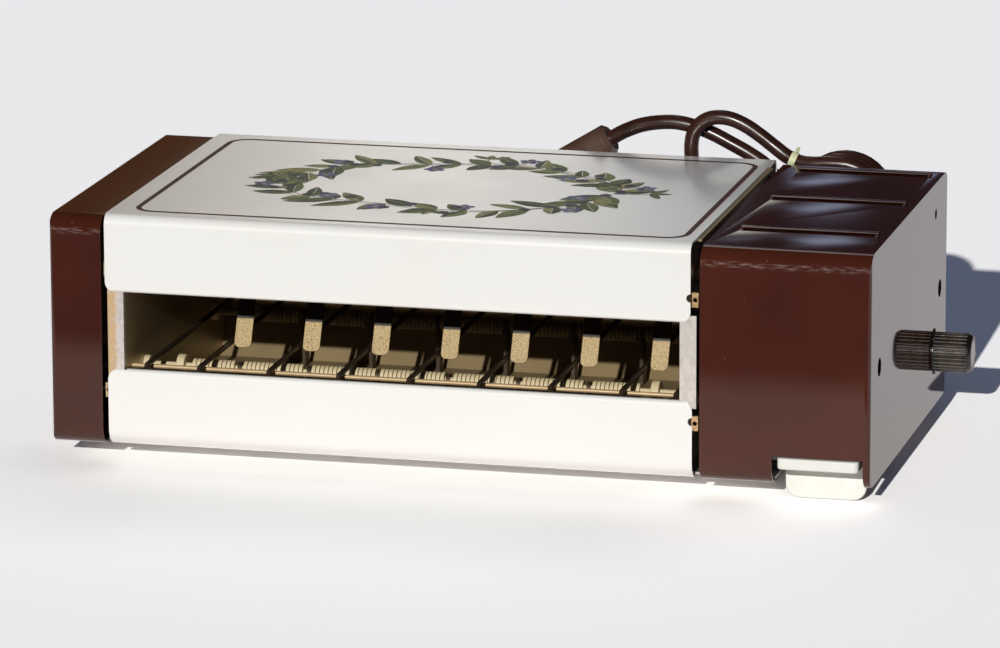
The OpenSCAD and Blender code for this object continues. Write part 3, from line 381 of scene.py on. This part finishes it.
world = bpy.data.worlds.new("studio")
bpy.context.scene.world = world
world.use_nodes = True
tree = world.node_tree
fill = tree.nodes["Background"]
fill.inputs["Strength"].default_value = 0.042
heading = add(tree, "ShaderNodeTexCoord").outputs["Generated"]
split = add(tree, "ShaderNodeSeparateXYZ", {"Vector": heading})
rearward = add(tree, "ShaderNodeMapRange", {0: split.outputs["Y"], 1: 0.3, 2: 0.7})
low_down = add(tree, "ShaderNodeMapRange", {0: split.outputs["Z"], 1: 0.32, 2: 0.22})
rear_glow = add(tree, "ShaderNodeMath", {0: rearward.outputs[0], 1: low_down.outputs[0]}, operation="MULTIPLY")
filled = add(tree, "ShaderNodeMix", {"Factor": rear_glow.outputs[0], 6: (0.62, 0.82, 1.42, 1), 7: (13, 13, 13.5, 1)},
             data_type="RGBA")
tree.links.new(filled.outputs[2], fill.inputs["Color"])
leftward = add(tree, "ShaderNodeMath", {0: split.outputs["X"], 1: -1.0}, operation="MULTIPLY")
azimuth = add(tree, "ShaderNodeMath", {0: leftward.outputs[0], 1: split.outputs["Y"]}, operation="ARCTAN2")
level = add(tree, "ShaderNodeClamp", {0: split.outputs["Z"], 1: 0.195, 2: 0.23})
slant = add(tree, "ShaderNodeMath", {0: level.outputs[0], 1: -1.11, 2: azimuth.outputs[0]},
            operation="MULTIPLY_ADD")
room = add(tree, "ShaderNodeMapRange", {0: slant.outputs[0], 1: math.radians(-5), 2: math.radians(7)})
band = add(tree, "ShaderNodeValToRGB", {"Fac": room.outputs[0]})
stops = ((0.0, (0.015, 0.015, 0.02)), (0.335, (0.02, 0.02, 0.025)), (0.355, (1.32, 1.28, 1.20)),
         (0.665, (1.34, 1.27, 1.14)), (0.69, (0.13, 0.055, 0.02)), (1.0, (0.10, 0.045, 0.02)))
while len(band.color_ramp.elements) < len(stops):
    band.color_ramp.elements.new(0.5)
for stop, (place, shade) in zip(band.color_ramp.elements, stops):
    stop.position = place
    stop.color = (*shade, 1)
cloud = add(tree, "ShaderNodeTexNoise", {"Vector": heading, "Scale": 60.0, "Detail": 1.0})
glow = add(tree, "ShaderNodeMapRange", {0: cloud.outputs["Fac"], 1: 0.42, 2: 0.58, 3: 0.0, 4: 1.0})
glow_left = add(tree, "ShaderNodeMapRange", {0: slant.outputs[0], 1: math.radians(-1.2), 2: math.radians(-1.6)})
glow_right = add(tree, "ShaderNodeMapRange", {0: slant.outputs[0], 1: math.radians(-2.7), 2: math.radians(-2.3)})
glow_zone = add(tree, "ShaderNodeMath", {0: glow_left.outputs[0], 1: glow_right.outputs[0]}, operation="MULTIPLY")
glow_here = add(tree, "ShaderNodeMath", {0: glow.outputs[0], 1: glow_zone.outputs[0]}, operation="MULTIPLY")
sky = add(tree, "ShaderNodeMix", {"Factor": glow_here.outputs[0], 7: (0.60, 0.68, 0.95, 1)}, data_type="RGBA")
tree.links.new(band.outputs["Color"], sky.inputs[6])
reflected = add(tree, "ShaderNodeBackground", {"Color": sky.outputs[2], "Strength": 1.0})
path = add(tree, "ShaderNodeLightPath")
either = add(tree, "ShaderNodeMixShader", {0: path.outputs["Is Glossy Ray"], 1: fill.outputs[0],
                                           2: reflected.outputs[0]})
tree.links.new(either.outputs[0], tree.nodes["World Output"].inputs["Surface"])

# End caps: drawn sheet steel in dark brown stove enamel, glossy, with a faint orange peel.
# Dust flecks, and pale streaks along the front top bend that are scuffs with a painted highlight.
brown_enamel, tree, shader = finish_of("stove_enamel_brown", IOR=1.5, Specular_IOR_Level=0.0,
                                       Coat_Weight=0.9, Coat_IOR=1.5, Coat_Roughness=0.04)
spot, cloud = toned(tree, shader, "3d1a13", "4a2218", 14.0, 3.0)
tint = shader.inputs["Base Color"].links[0].from_node
speck = add(tree, "ShaderNodeTexVoronoi", {"Vector": spot, "Scale": 95.0})
fleck = add(tree, "ShaderNodeMapRange", {0: speck.outputs["Distance"], 1: 0.035, 2: 0.015, 3: 0.0, 4: 0.5})
dusty = add(tree, "ShaderNodeMix", {"Factor": fleck.outputs[0]}, data_type="RGBA")
tree.links.new(tint.outputs["Color"], dusty.inputs[6])
dusty.inputs[7].default_value = colour("a08a7c")
split = add(tree, "ShaderNodeSeparateXYZ", {"Vector": spot})
# Pale scratch-like streaks on the front top bend: partly scuffs, partly a painted highlight where the lamp glints on
# the bend.
bend_off = add(tree, "ShaderNodeMath", {0: split.outputs["Z"], 1: 0.1308}, operation="SUBTRACT")
bend_away = add(tree, "ShaderNodeMath", {0: bend_off.outputs[0]}, operation="ABSOLUTE")
bend_near = add(tree, "ShaderNodeMapRange", {0: bend_away.outputs[0], 1: 0.0022, 2: 0.0006})
at_front = add(tree, "ShaderNodeMapRange", {0: split.outputs["Y"], 1: at(0, 6, 0).y, 2: at(0, 4, 0).y})
stretch = add(tree, "ShaderNodeMapping", {"Vector": spot, "Scale": (160.0, 160.0, 1400.0)})
scratch = add(tree, "ShaderNodeTexNoise", {"Vector": stretch.outputs[0], "Scale": 1.0, "Detail": 5.0})
scored = add(tree, "ShaderNodeMapRange", {0: scratch.outputs["Fac"], 1: 0.46, 2: 0.64, 3: 0.0, 4: 0.34})
on_bend = add(tree, "ShaderNodeMath", {0: bend_near.outputs[0], 1: at_front.outputs[0]}, operation="MULTIPLY")
scuffs_and_highlight = add(tree, "ShaderNodeMath", {0: scored.outputs[0], 1: on_bend.outputs[0]}, operation="MULTIPLY")
scuffed_and_highlighted = add(tree, "ShaderNodeMix", {"Factor": scuffs_and_highlight.outputs[0], 7: colour("b09a94")}, data_type="RGBA")
tree.links.new(dusty.outputs[2], scuffed_and_highlighted.inputs[6])
tree.links.new(scuffed_and_highlighted.outputs[2], shader.inputs["Base Color"])
smear = add(tree, "ShaderNodeTexNoise", {"Vector": spot, "Scale": 35.0, "Detail": 6.0})
dull = add(tree, "ShaderNodeMapRange", {0: smear.outputs["Fac"], 1: 0.3, 2: 0.75, 3: 0.28, 4: 0.45})
tree.links.new(dull.outputs[0], shader.inputs["Roughness"])
peel = add(tree, "ShaderNodeTexNoise", {"Vector": spot, "Scale": 420.0, "Detail": 1.0})
dent = add(tree, "ShaderNodeBump", {"Height": peel.outputs["Fac"], "Strength": 0.04, "Distance": 0.0006})
tree.links.new(dent.outputs["Normal"], shader.inputs["Normal"])
softened("left_end_cap", brown_enamel, edge=0.35)
softened("control_housing", brown_enamel, edge=0.35)

# Covers: bent sheet steel in cream vitreous enamel, one over and one under the toast slot.
# The top carries a thin brown border line.
cream_enamel, tree, shader = finish_of("vitreous_enamel_cream", IOR=1.52, Coat_Weight=1.0, Coat_Roughness=0.28)
spot = add(tree, "ShaderNodeTexCoord").outputs["Object"]
cloud = add(tree, "ShaderNodeTexNoise", {"Vector": spot, "Scale": 9.0, "Detail": 3.0})
tint = add(tree, "ShaderNodeValToRGB", {"Fac": cloud.outputs["Fac"]})
tint.color_ramp.elements[0].color = colour("f0efe9")
tint.color_ramp.elements[1].color = colour("f6f5f2")
tree.links.new(tint.outputs["Color"], shader.inputs["Base Color"])
smear = add(tree, "ShaderNodeTexNoise", {"Vector": spot, "Scale": 28.0, "Detail": 5.0})
dull = add(tree, "ShaderNodeMapRange", {0: smear.outputs["Fac"], 1: 0.3, 2: 0.75, 3: 0.12, 4: 0.24})
tree.links.new(dull.outputs[0], shader.inputs["Roughness"])
peel = add(tree, "ShaderNodeTexNoise", {"Vector": spot, "Scale": 260.0, "Detail": 1.0})
dent = add(tree, "ShaderNodeBump", {"Height": peel.outputs["Fac"], "Strength": 0.03, "Distance": 0.0006})
tree.links.new(dent.outputs["Normal"], shader.inputs["Normal"])
softened("upper_cover", cream_enamel, edge=0.35)
softened("lower_cover", cream_enamel, edge=0.35)

# Border line: brown glaze, 2.5 mm wide, in a rounded rectangle fired on the cover's top.
glaze_lift = 0.00005
top_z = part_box("upper_cover")[1].z
glaze_brown, tree, shader = finish_of("glaze_line_brown", Roughness=0.45, Specular_IOR_Level=0.05)
spot, cloud = toned(tree, shader, "45291d", "613f30", 150.0)
line_width = 0.003
border_radius = 0.011
border_low, border_high = at(43.7, 14.5, 0), at(346.5, 210, 0)
mesh = bmesh.new()
outline = []
for cx, cy, start in ((1, 1, 0), (0, 1, 90), (0, 0, 180), (1, 0, 270)):
    middle = Vector((border_high.x - border_radius if cx else border_low.x + border_radius,
                     border_high.y - border_radius if cy else border_low.y + border_radius, 0))
    for step in range(13):
        turn = math.radians(start + step * 7.5)
        outline.append((middle, Vector((math.cos(turn), math.sin(turn), 0))))
inner = [mesh.verts.new(m + n * (border_radius - line_width / 2)) for m, n in outline]
outer = [mesh.verts.new(m + n * (border_radius + line_width / 2)) for m, n in outline]
loops = [[mesh.edges.new((ring[i - 1], ring[i])) for i in range(len(ring))] for ring in (inner, outer)]
bmesh.ops.bridge_loops(mesh, edges=loops[0] + loops[1])
bmesh.ops.translate(mesh, vec=(0, 0, top_z + glaze_lift), verts=mesh.verts)
bmesh.ops.recalc_face_normals(mesh, faces=mesh.faces)
if mesh.faces[:][0].normal.z < 0:
    bmesh.ops.reverse_faces(mesh, faces=mesh.faces)
made_piece("border_line", mesh, glaze_brown, "housing")

# Printed wreath: ceramic transfer colours fired on the cover's top, a few hundredths of a millimetre thick.
# An oval of lance-shaped leaves in greens, small violet-blue blossoms, dark berries and brown twigs.
print_rgb = {
    "leaf": ("36471f", "4a5e2b", "64763a", "7f8a48", "99995a"),
    "petal": ("6c6f9c", "5a5d8d", "7f83ad"),
    "berry": ("2a2c44", "383b5a", "31304a"),
    "twig": ("6e5238", "8a6b4a", "5b4632"),
    "heart": ("c7a94e",),
}
random.seed(7)
mesh = bmesh.new()
paint = mesh.loops.layers.float_color.new("print_colour")


def patch(outline, kind):
    """One flat patch of a print colour, each a hair higher than the one before, so that none coincide."""
    lift = 0.00004 + len(mesh.faces) * 1.2e-7
    face = mesh.faces.new([mesh.verts.new(at(p[0], p[1], 0) + Vector((0, 0, top_z + lift))) for p in outline])
    if face.normal.z < 0 or sum(a[0] * b[1] - b[0] * a[1] for a, b in zip(outline, outline[1:])) < 0:
        face.normal_flip()
    ink = colour(random.choice(print_rgb[kind]))
    for corner in face.loops:
        corner[paint] = ink


def leaf(base, heading, length, width):
    """A lance-shaped leaf in two halves with a pale midrib left between them."""
    ahead = Vector((math.cos(heading), math.sin(heading)))
    aside = Vector((-ahead.y, ahead.x))
    bend = random.uniform(-0.12, 0.12)
    for side in (1, -1):
        rim = []
        for i in range(9):
            t = i / 8
            out = side * (0.16 + width / 2 * math.sin(math.pi * t ** 0.85) ** 0.9 if 0 < i < 8 else 0.16)
            rim.append(base + ahead * length * t + aside * (out + bend * length * t * t))
        rib = [base + ahead * length * t + aside * (side * 0.16 + bend * length * t * t) for t in (0.8, 0.55, 0.3)]
        patch((rim + rib)[::side], "leaf")


def twig(points, width):
    """A twig that tapers along its points."""
    for i, (a, b) in enumerate(zip(points, points[1:])):
        aside = Vector((a.y - b.y, b.x - a.x)).normalized() * width / 2 * (1 - 0.6 * i / len(points))
        patch([a - aside, b - aside, b + aside, a + aside], "twig")


def disc(middle, radius, kind, sides=12, stretch=1.0, heading=0.0):
    """A round or oval patch."""
    turned = Matrix.Rotation(heading, 2)
    patch([middle + turned @ Vector((radius * stretch * math.cos(k * math.tau / sides),
                                     radius * math.sin(k * math.tau / sides))) for k in range(sides)], kind)


wreath_middle = Vector((194, 114))
wreath_half = (92, 58)
ringed = [wreath_middle + Vector((wreath_half[0] * math.cos(k * math.tau / 72) * (1 + 0.05 * math.sin(k / 3)),
                                  wreath_half[1] * math.sin(k * math.tau / 72) * (1 + 0.07 * math.cos(k / 2.3))))
          for k in range(73)]
twig(ringed[:34], 1.5)
twig(ringed[72:38:-1], 1.5)
twig([p + Vector((1.5, 3.2)) for p in ringed[4:30]], 0.9)
twig([p + Vector((-2.5, -3.0)) for p in ringed[66:42:-1]], 0.9)
for k in range(1, 72, 2):
    along = ringed[k + 1] - ringed[k - 1]
    heading = math.atan2(along.y, along.x) + (0 if k < 36 else math.pi)
    for side in (1, -1):
        if random.random() < 0.9:
            leaf(ringed[k], heading + side * random.uniform(0.45, 1.15), random.uniform(17, 29),
                 random.uniform(8, 12))
for k in range(3, 72, 6):
    side = 1 if k % 12 < 6 else -1
    stalk = (ringed[k] - wreath_middle).normalized() * side * random.uniform(9, 14)
    twig([ringed[k], ringed[k] + stalk * 0.5 + Vector((1.2, 0)), ringed[k] + stalk], 0.7)
    start = random.uniform(0, 1.2)
    for petal in range(5):
        turn = start + petal * math.tau / 5
        disc(ringed[k] + stalk + Vector((math.cos(turn), math.sin(turn))) * 3.3, 2.3, "petal", 10, 1.35, turn)
    disc(ringed[k] + stalk, 1.3, "heart")
for k in range(0, 72, 4):
    for offset in ((5, 3), (-4, -6), (1, 8)):
        if random.random() < 0.55:
            disc(ringed[k] + Vector(offset) + Vector((random.uniform(-2, 2), random.uniform(-2, 2))),
                 random.uniform(2.6, 3.8), "berry")
for k in (0, 18, 36, 54):
    away = (ringed[k] - wreath_middle).normalized()
    tip = ringed[k] + away * 20 * (0.75 if k in (18, 54) else 1) + Vector((4, 5))
    twig([ringed[k], (ringed[k] + tip) / 2 + Vector((2, -1)), tip], 0.8)
    for lean in (-0.9, 0.0, 0.9):
        leaf(tip - away * 5, math.atan2(away.y, away.x) + lean, random.uniform(10, 15), 4.5)
for face in mesh.faces:
    face.normal_update()
    if face.normal.z < 0:
        face.normal_flip()
transfer, tree, shader = finish_of("ceramic_transfer_print", Roughness=0.4, IOR=1.5, Specular_IOR_Level=0.12)
ink = add(tree, "ShaderNodeAttribute", attribute_name="print_colour")
spot = add(tree, "ShaderNodeTexCoord").outputs["Object"]
blot = add(tree, "ShaderNodeTexNoise", {"Vector": spot, "Scale": 260.0, "Detail": 4.0})
deep = add(tree, "ShaderNodeMapRange", {"Value": blot.outputs["Fac"], "From Min": 0.35, "From Max": 0.65,
                                        "To Min": 0.72, "To Max": 1.25})
shade = add(tree, "ShaderNodeVectorMath", {0: ink.outputs["Color"], "Scale": deep.outputs[0]}, operation="SCALE")
tree.links.new(shade.outputs[0], shader.inputs["Base Color"])
made_piece("top_print", mesh, transfer, "housing")

# Side plates, base, rear panel and the ejector's arm: galvanised sheet steel.
# The front flanges stay grey with rusty edges, with painted shade where the covers hide them; behind them heat has
# browned the zinc.
zinc, tree, shader = finish_of("galvanised_sheet", Metallic=0.7)
spot = add(tree, "ShaderNodeTexCoord").outputs["Object"]
split = add(tree, "ShaderNodeSeparateXYZ", {"Vector": spot})
spangle = add(tree, "ShaderNodeTexVoronoi", {"Vector": spot, "Scale": 420.0})
tint = add(tree, "ShaderNodeValToRGB", {"Fac": spangle.outputs["Color"]})
tint.color_ramp.elements[0].color = colour("c6c6c3")
tint.color_ramp.elements[1].color = colour("dcdcd8")
flange_back = at(0, 4.4, 0).y
heated = add(tree, "ShaderNodeMapRange", {0: split.outputs["Y"], 1: flange_back, 2: flange_back + 0.004})
brown = add(tree, "ShaderNodeTexNoise", {"Vector": spot, "Scale": 40.0, "Detail": 5.0})
scorch = add(tree, "ShaderNodeValToRGB", {"Fac": brown.outputs["Fac"]})
scorch.color_ramp.elements[0].color = colour("a39272")
scorch.color_ramp.elements[1].color = colour("bfac86")
both = add(tree, "ShaderNodeMix", {"Factor": heated.outputs[0]}, data_type="RGBA")
tree.links.new(tint.outputs["Color"], both.inputs[6])
tree.links.new(scorch.outputs["Color"], both.inputs[7])
left_rim = add(tree, "ShaderNodeMapRange", {0: split.outputs["X"], 1: at(38.4, 0, 0).x, 2: at(35.5, 0, 0).x,
                                            3: 0.0, 4: 0.27})
pits = add(tree, "ShaderNodeTexNoise", {"Vector": spot, "Scale": 900.0, "Detail": 6.0, "Roughness": 0.75})
eaten = add(tree, "ShaderNodeMath", {0: pits.outputs["Fac"], 1: left_rim.outputs[0]})
rusty = add(tree, "ShaderNodeMapRange", {0: eaten.outputs[0], 1: 0.66, 2: 0.74})
rust = add(tree, "ShaderNodeValToRGB", {"Fac": pits.outputs["Fac"]})
rust.color_ramp.elements[0].position, rust.color_ramp.elements[1].position = 0.36, 0.52
rust.color_ramp.elements[0].color = colour("8a5c2e")
rust.color_ramp.elements[1].color = colour("cfae80")
surface_tone = add(tree, "ShaderNodeMix", {"Factor": rusty.outputs[0]}, data_type="RGBA")
tree.links.new(both.outputs[2], surface_tone.inputs[6])
tree.links.new(rust.outputs["Color"], surface_tone.inputs[7])
# Above and below the slot band, where the covers hide the front flanges, they are painted near-black: painted shade;
# only the tab ends there are beige.
slot_middle, flange_half = 0.07635, 0.0273
off_middle = add(tree, "ShaderNodeMath", {0: split.outputs["Z"], 1: slot_middle}, operation="SUBTRACT")
height_off = add(tree, "ShaderNodeMath", {0: off_middle.outputs[0]}, operation="ABSOLUTE")
past_flange = add(tree, "ShaderNodeMapRange", {0: height_off.outputs[0], 1: flange_half, 2: flange_half + 0.0005})
in_front = add(tree, "ShaderNodeMath", {0: 1.0, 1: heated.outputs[0]}, operation="SUBTRACT")
beyond_slot_band = add(tree, "ShaderNodeMath", {0: past_flange.outputs[0], 1: in_front.outputs[0]}, operation="MULTIPLY")
right_tab = add(tree, "ShaderNodeMapRange", {0: split.outputs["X"], 1: at(353.6, 0, 0).x, 2: at(354.0, 0, 0).x})
left_tab = add(tree, "ShaderNodeMapRange", {0: split.outputs["X"], 1: at(36.0, 0, 0).x, 2: at(35.6, 0, 0).x})
either_tab = add(tree, "ShaderNodeMath", {0: right_tab.outputs[0], 1: left_tab.outputs[0]}, operation="MAXIMUM")
dabbed = add(tree, "ShaderNodeValToRGB", {"Fac": pits.outputs["Fac"]})
dabbed.color_ramp.elements[0].position, dabbed.color_ramp.elements[1].position = 0.42, 0.56
dabbed.color_ramp.elements[0].color = colour("9c7c52")
dabbed.color_ramp.elements[1].color = colour("cdb48a")
tabs_and_painted_shade = add(tree, "ShaderNodeMix", {"Factor": either_tab.outputs[0], 6: colour("33291f")}, data_type="RGBA")
tree.links.new(dabbed.outputs["Color"], tabs_and_painted_shade.inputs[7])
zinc_tabs_and_shade = add(tree, "ShaderNodeMix", {"Factor": beyond_slot_band.outputs[0]}, data_type="RGBA")
tree.links.new(surface_tone.outputs[2], zinc_tabs_and_shade.inputs[6])
tree.links.new(tabs_and_painted_shade.outputs[2], zinc_tabs_and_shade.inputs[7])
tree.links.new(zinc_tabs_and_shade.outputs[2], shader.inputs["Base Color"])
metal = add(tree, "ShaderNodeMath", {0: rusty.outputs[0], 1: -0.7, 2: 0.7}, operation="MULTIPLY_ADD")
tree.links.new(metal.outputs[0], shader.inputs["Metallic"])
dry = add(tree, "ShaderNodeMath", {0: rusty.outputs[0], 1: 0.4, 2: 0.42}, operation="MULTIPLY_ADD")
tree.links.new(dry.outputs[0], shader.inputs["Roughness"])
for node in ("left_side_plate", "right_side_plate"):
    softened(node, zinc, edge=0.2)

plain_zinc, tree, shader = finish_of("galvanised_sheet_plain", Metallic=0.8, Roughness=0.4)
spot = add(tree, "ShaderNodeTexCoord").outputs["Object"]
spangle = add(tree, "ShaderNodeTexVoronoi", {"Vector": spot, "Scale": 160.0})
tint = add(tree, "ShaderNodeValToRGB", {"Fac": spangle.outputs["Color"]})
tint.color_ramp.elements[0].color = colour("a2a4a4")
tint.color_ramp.elements[1].color = colour("c3c5c5")
tree.links.new(tint.outputs["Color"], shader.inputs["Base Color"])
for node in ("rear_panel", "base_plate", "heat_shield", "guide_brackets", "ejector_arm"):
    softened(node, plain_zinc, edge=0.2)

# Reflectors: aluminised sheet, gone straw brown with heat and crumbs, dull and streaky.
mirror, tree, shader = finish_of("aluminised_sheet_stained", Metallic=0.2, Roughness=0.5)
spot = add(tree, "ShaderNodeTexCoord").outputs["Object"]
cloud = add(tree, "ShaderNodeTexNoise", {"Vector": spot, "Scale": 30.0, "Detail": 6.0})
tint = add(tree, "ShaderNodeValToRGB", {"Fac": cloud.outputs["Fac"]})
tint.color_ramp.elements[0].color = colour("7d6a4b")
tint.color_ramp.elements[1].color = colour("a08c66")
tree.links.new(tint.outputs["Color"], shader.inputs["Base Color"])
for node in ("rear_reflector", "lower_reflector", "upper_reflector"):
    softened(node, mirror, edge=0.2)

# Toast grid and heater supports: round steel wire and plate, oxidised dark brown.
oxide, tree, shader = finish_of("steel_wire_oxidised", Metallic=0.6, Roughness=0.5)
spot = add(tree, "ShaderNodeTexCoord").outputs["Object"]
cloud = add(tree, "ShaderNodeTexNoise", {"Vector": spot, "Scale": 120.0, "Detail": 5.0})
tint = add(tree, "ShaderNodeValToRGB", {"Fac": cloud.outputs["Fac"]})
tint.color_ramp.elements[0].color = colour("31261f")
tint.color_ramp.elements[1].color = colour("5a493a")
tree.links.new(tint.outputs["Color"], shader.inputs["Base Color"])
for node in ("toast_grid", "heater_supports_low", "heater_supports_high"):
    softened(node, oxide, edge=0.15)

# Cross rods, guide rod and timer shaft: drawn steel rod, bright, straw-tinted by the heat.
bright, tree, shader = finish_of("drawn_rod_bright", Metallic=0.35, Roughness=0.38)
spot = add(tree, "ShaderNodeTexCoord").outputs["Object"]
cloud = add(tree, "ShaderNodeTexNoise", {"Vector": spot, "Scale": 140.0, "Detail": 4.0})
tint = add(tree, "ShaderNodeValToRGB", {"Fac": cloud.outputs["Fac"]})
tint.color_ramp.elements[0].color = colour("b8966a")
tint.color_ramp.elements[1].color = colour("dcc59c")
tree.links.new(tint.outputs["Color"], shader.inputs["Base Color"])
for node in ("grid_cross_rods", "guide_rod", "timer_shaft"):
    softened(node, bright, edge=0.15)

# Heaters: a conductor threaded through short cream steatite beads, with collars and wall bushings.
steatite, tree, shader = finish_of("steatite_beads", Roughness=0.55, IOR=1.6)
spot = add(tree, "ShaderNodeTexCoord").outputs["Object"]
cloud = add(tree, "ShaderNodeTexNoise", {"Vector": spot, "Scale": 250.0, "Detail": 4.0})
tint = add(tree, "ShaderNodeValToRGB", {"Fac": cloud.outputs["Fac"]})
tint.color_ramp.elements[0].color = colour("cdb88c")
tint.color_ramp.elements[1].color = colour("e4d4ad")
tree.links.new(tint.outputs["Color"], shader.inputs["Base Color"])
# The rear heaters take a darker copy of the bead colour: painted shade for the unlit back of the chamber.
shaded_steatite, tree, shader = finish_of("steatite_beads_painted_shade", Roughness=0.6, IOR=1.6)
toned(tree, shader, "6f5d42", "937d58", 250.0)
for node, fired in (("lower_heater_front", steatite), ("lower_heater_rear", shaded_steatite),
                    ("upper_heater_front", steatite), ("upper_heater_rear", shaded_steatite)):
    softened(node, fired, edge=0.25)
for node in ("heater_collars", "wall_bushings"):
    softened(node, steatite, edge=0.4)

# Ejector comb: a stamped steel sheet whose finger ends carry speckled beige enamel; above them it is painted
# near-black, a painted shadow of the upper cover's edge on the fingers.
shadow_edge_z = 0.0694
speckled, tree, shader = finish_of("sheet_enamel_speckled", Roughness=0.4)
spot = add(tree, "ShaderNodeTexCoord").outputs["Object"]
speck = add(tree, "ShaderNodeTexNoise", {"Vector": spot, "Scale": 1500.0, "Detail": 3.0})
tint = add(tree, "ShaderNodeValToRGB", {"Fac": speck.outputs["Fac"]})
tint.color_ramp.elements[0].position = 0.38
tint.color_ramp.elements[0].color = colour("8f7146")
tint.color_ramp.elements[1].position = 0.5
tint.color_ramp.elements[1].color = colour("c5ac78")
height = add(tree, "ShaderNodeSeparateXYZ", {"Vector": spot}).outputs["Z"]
# Near-black above the line: painted shadow.
above_shadow_edge = add(tree, "ShaderNodeMapRange", {0: height, 1: shadow_edge_z, 2: shadow_edge_z + 0.0006})
fingers_painted_shadow = add(tree, "ShaderNodeMix", {"Factor": above_shadow_edge.outputs[0], 7: colour("1c1510")}, data_type="RGBA")
tree.links.new(tint.outputs["Color"], fingers_painted_shadow.inputs[6])
tree.links.new(fingers_painted_shadow.outputs[2], shader.inputs["Base Color"])
softened("ejector_comb", speckled, edge=0.2)

# Handle: cream urea moulding, smooth and a little translucent-looking, with rounded rims.
urea, tree, shader = finish_of("urea_moulded_cream", IOR=1.5)
spot, cloud = toned(tree, shader, "ebe9e1", "f1f0ea", 70.0)
dulled(tree, shader, cloud, 0.18, 0.3)
grained(tree, shader, spot, 600.0, 0.03, 0.0005)
softened("ejector_handle", urea, edge=1.0, segments=4)

# Knob and washer: dark brown phenolic, satin; the knob's end holds a spun aluminium disc.
phenolic, tree, shader = finish_of("phenolic_moulded", IOR=1.55)
spot, cloud = toned(tree, shader, "241c16", "382c1f", 200.0)
dulled(tree, shader, cloud, 0.22, 0.36)
grained(tree, shader, spot, 1200.0, 0.1, 0.0003)
surface_tone = shader.inputs["Base Color"].links[0].from_socket
# Between collar and end the ribbed band takes the lighter brown tone: dust in the grooves and a painted highlight on
# the ribs; collar and end stay near-black.
split = add(tree, "ShaderNodeSeparateXYZ", {"Vector": spot})
knob_low, knob_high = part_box("knob")
ribbed = add(tree, "ShaderNodeMapRange", {0: split.outputs["X"], 1: knob_low.x + 0.0032, 2: knob_low.x + 0.0038})
polished = add(tree, "ShaderNodeMapRange", {0: split.outputs["X"], 1: knob_high.x - 0.0052, 2: knob_high.x - 0.0042,
                                            3: 1.0, 4: 0.0})
dusty = add(tree, "ShaderNodeMath", {0: ribbed.outputs[0], 1: polished.outputs[0]}, operation="MULTIPLY")
both = add(tree, "ShaderNodeMix", {"Factor": dusty.outputs[0], 6: colour("17120f")}, data_type="RGBA")
tree.links.new(surface_tone, both.inputs[7])
tree.links.new(both.outputs[2], shader.inputs["Base Color"])
softened("knob", phenolic, edge=0.15)
softened("knob_washer", phenolic, edge=0.1)
spun, tree, shader = finish_of("aluminium_spun", Metallic=0.6)
spot, cloud = toned(tree, shader, "b5aaa8", "cfc6c4", 250.0)
dulled(tree, shader, cloud, 0.35, 0.5)
softened("knob_cap", spun, edge=0.1)

# Works behind the closed housing, the feet and their screws.
brass, tree, shader = finish_of("brass_strip", Metallic=1.0)
spot, cloud = toned(tree, shader, "a67d42", "c39b5a", 160.0)
dulled(tree, shader, cloud, 0.28, 0.45)
for node in ("heater_links", "timer_bell"):
    dress(node, brass)
pressed, tree, shader = finish_of("phenolic_paper", Roughness=0.55)
spot, cloud = toned(tree, shader, "b3a684", "cabd9f", 220.0)
grained(tree, shader, spot, 1800.0, 0.15, 0.0002)
for node in ("slide_block", "timer_body", "wiring"):
    dress(node, pressed)
bakelite, tree, shader = finish_of("bakelite_dark")
spot, cloud = toned(tree, shader, "2b2823", "3d3932", 180.0)
dulled(tree, shader, cloud, 0.28, 0.42)
dress("main_switch", bakelite)
dress("terminal_block", steatite)
rubber, tree, shader = finish_of("foot_rubber_moulded", Roughness=0.7)
spot, cloud = toned(tree, shader, "242120", "35312e", 240.0)
grained(tree, shader, spot, 2000.0, 0.25, 0.0003)
softened("feet", rubber, edge=0.4)
screw, tree, shader = finish_of("zinc_plated_screw", Metallic=1.0)
spot, cloud = toned(tree, shader, "989a9a", "b6b8b8", 350.0)
dulled(tree, shader, cloud, 0.28, 0.45)
dress("foot_screws", screw)
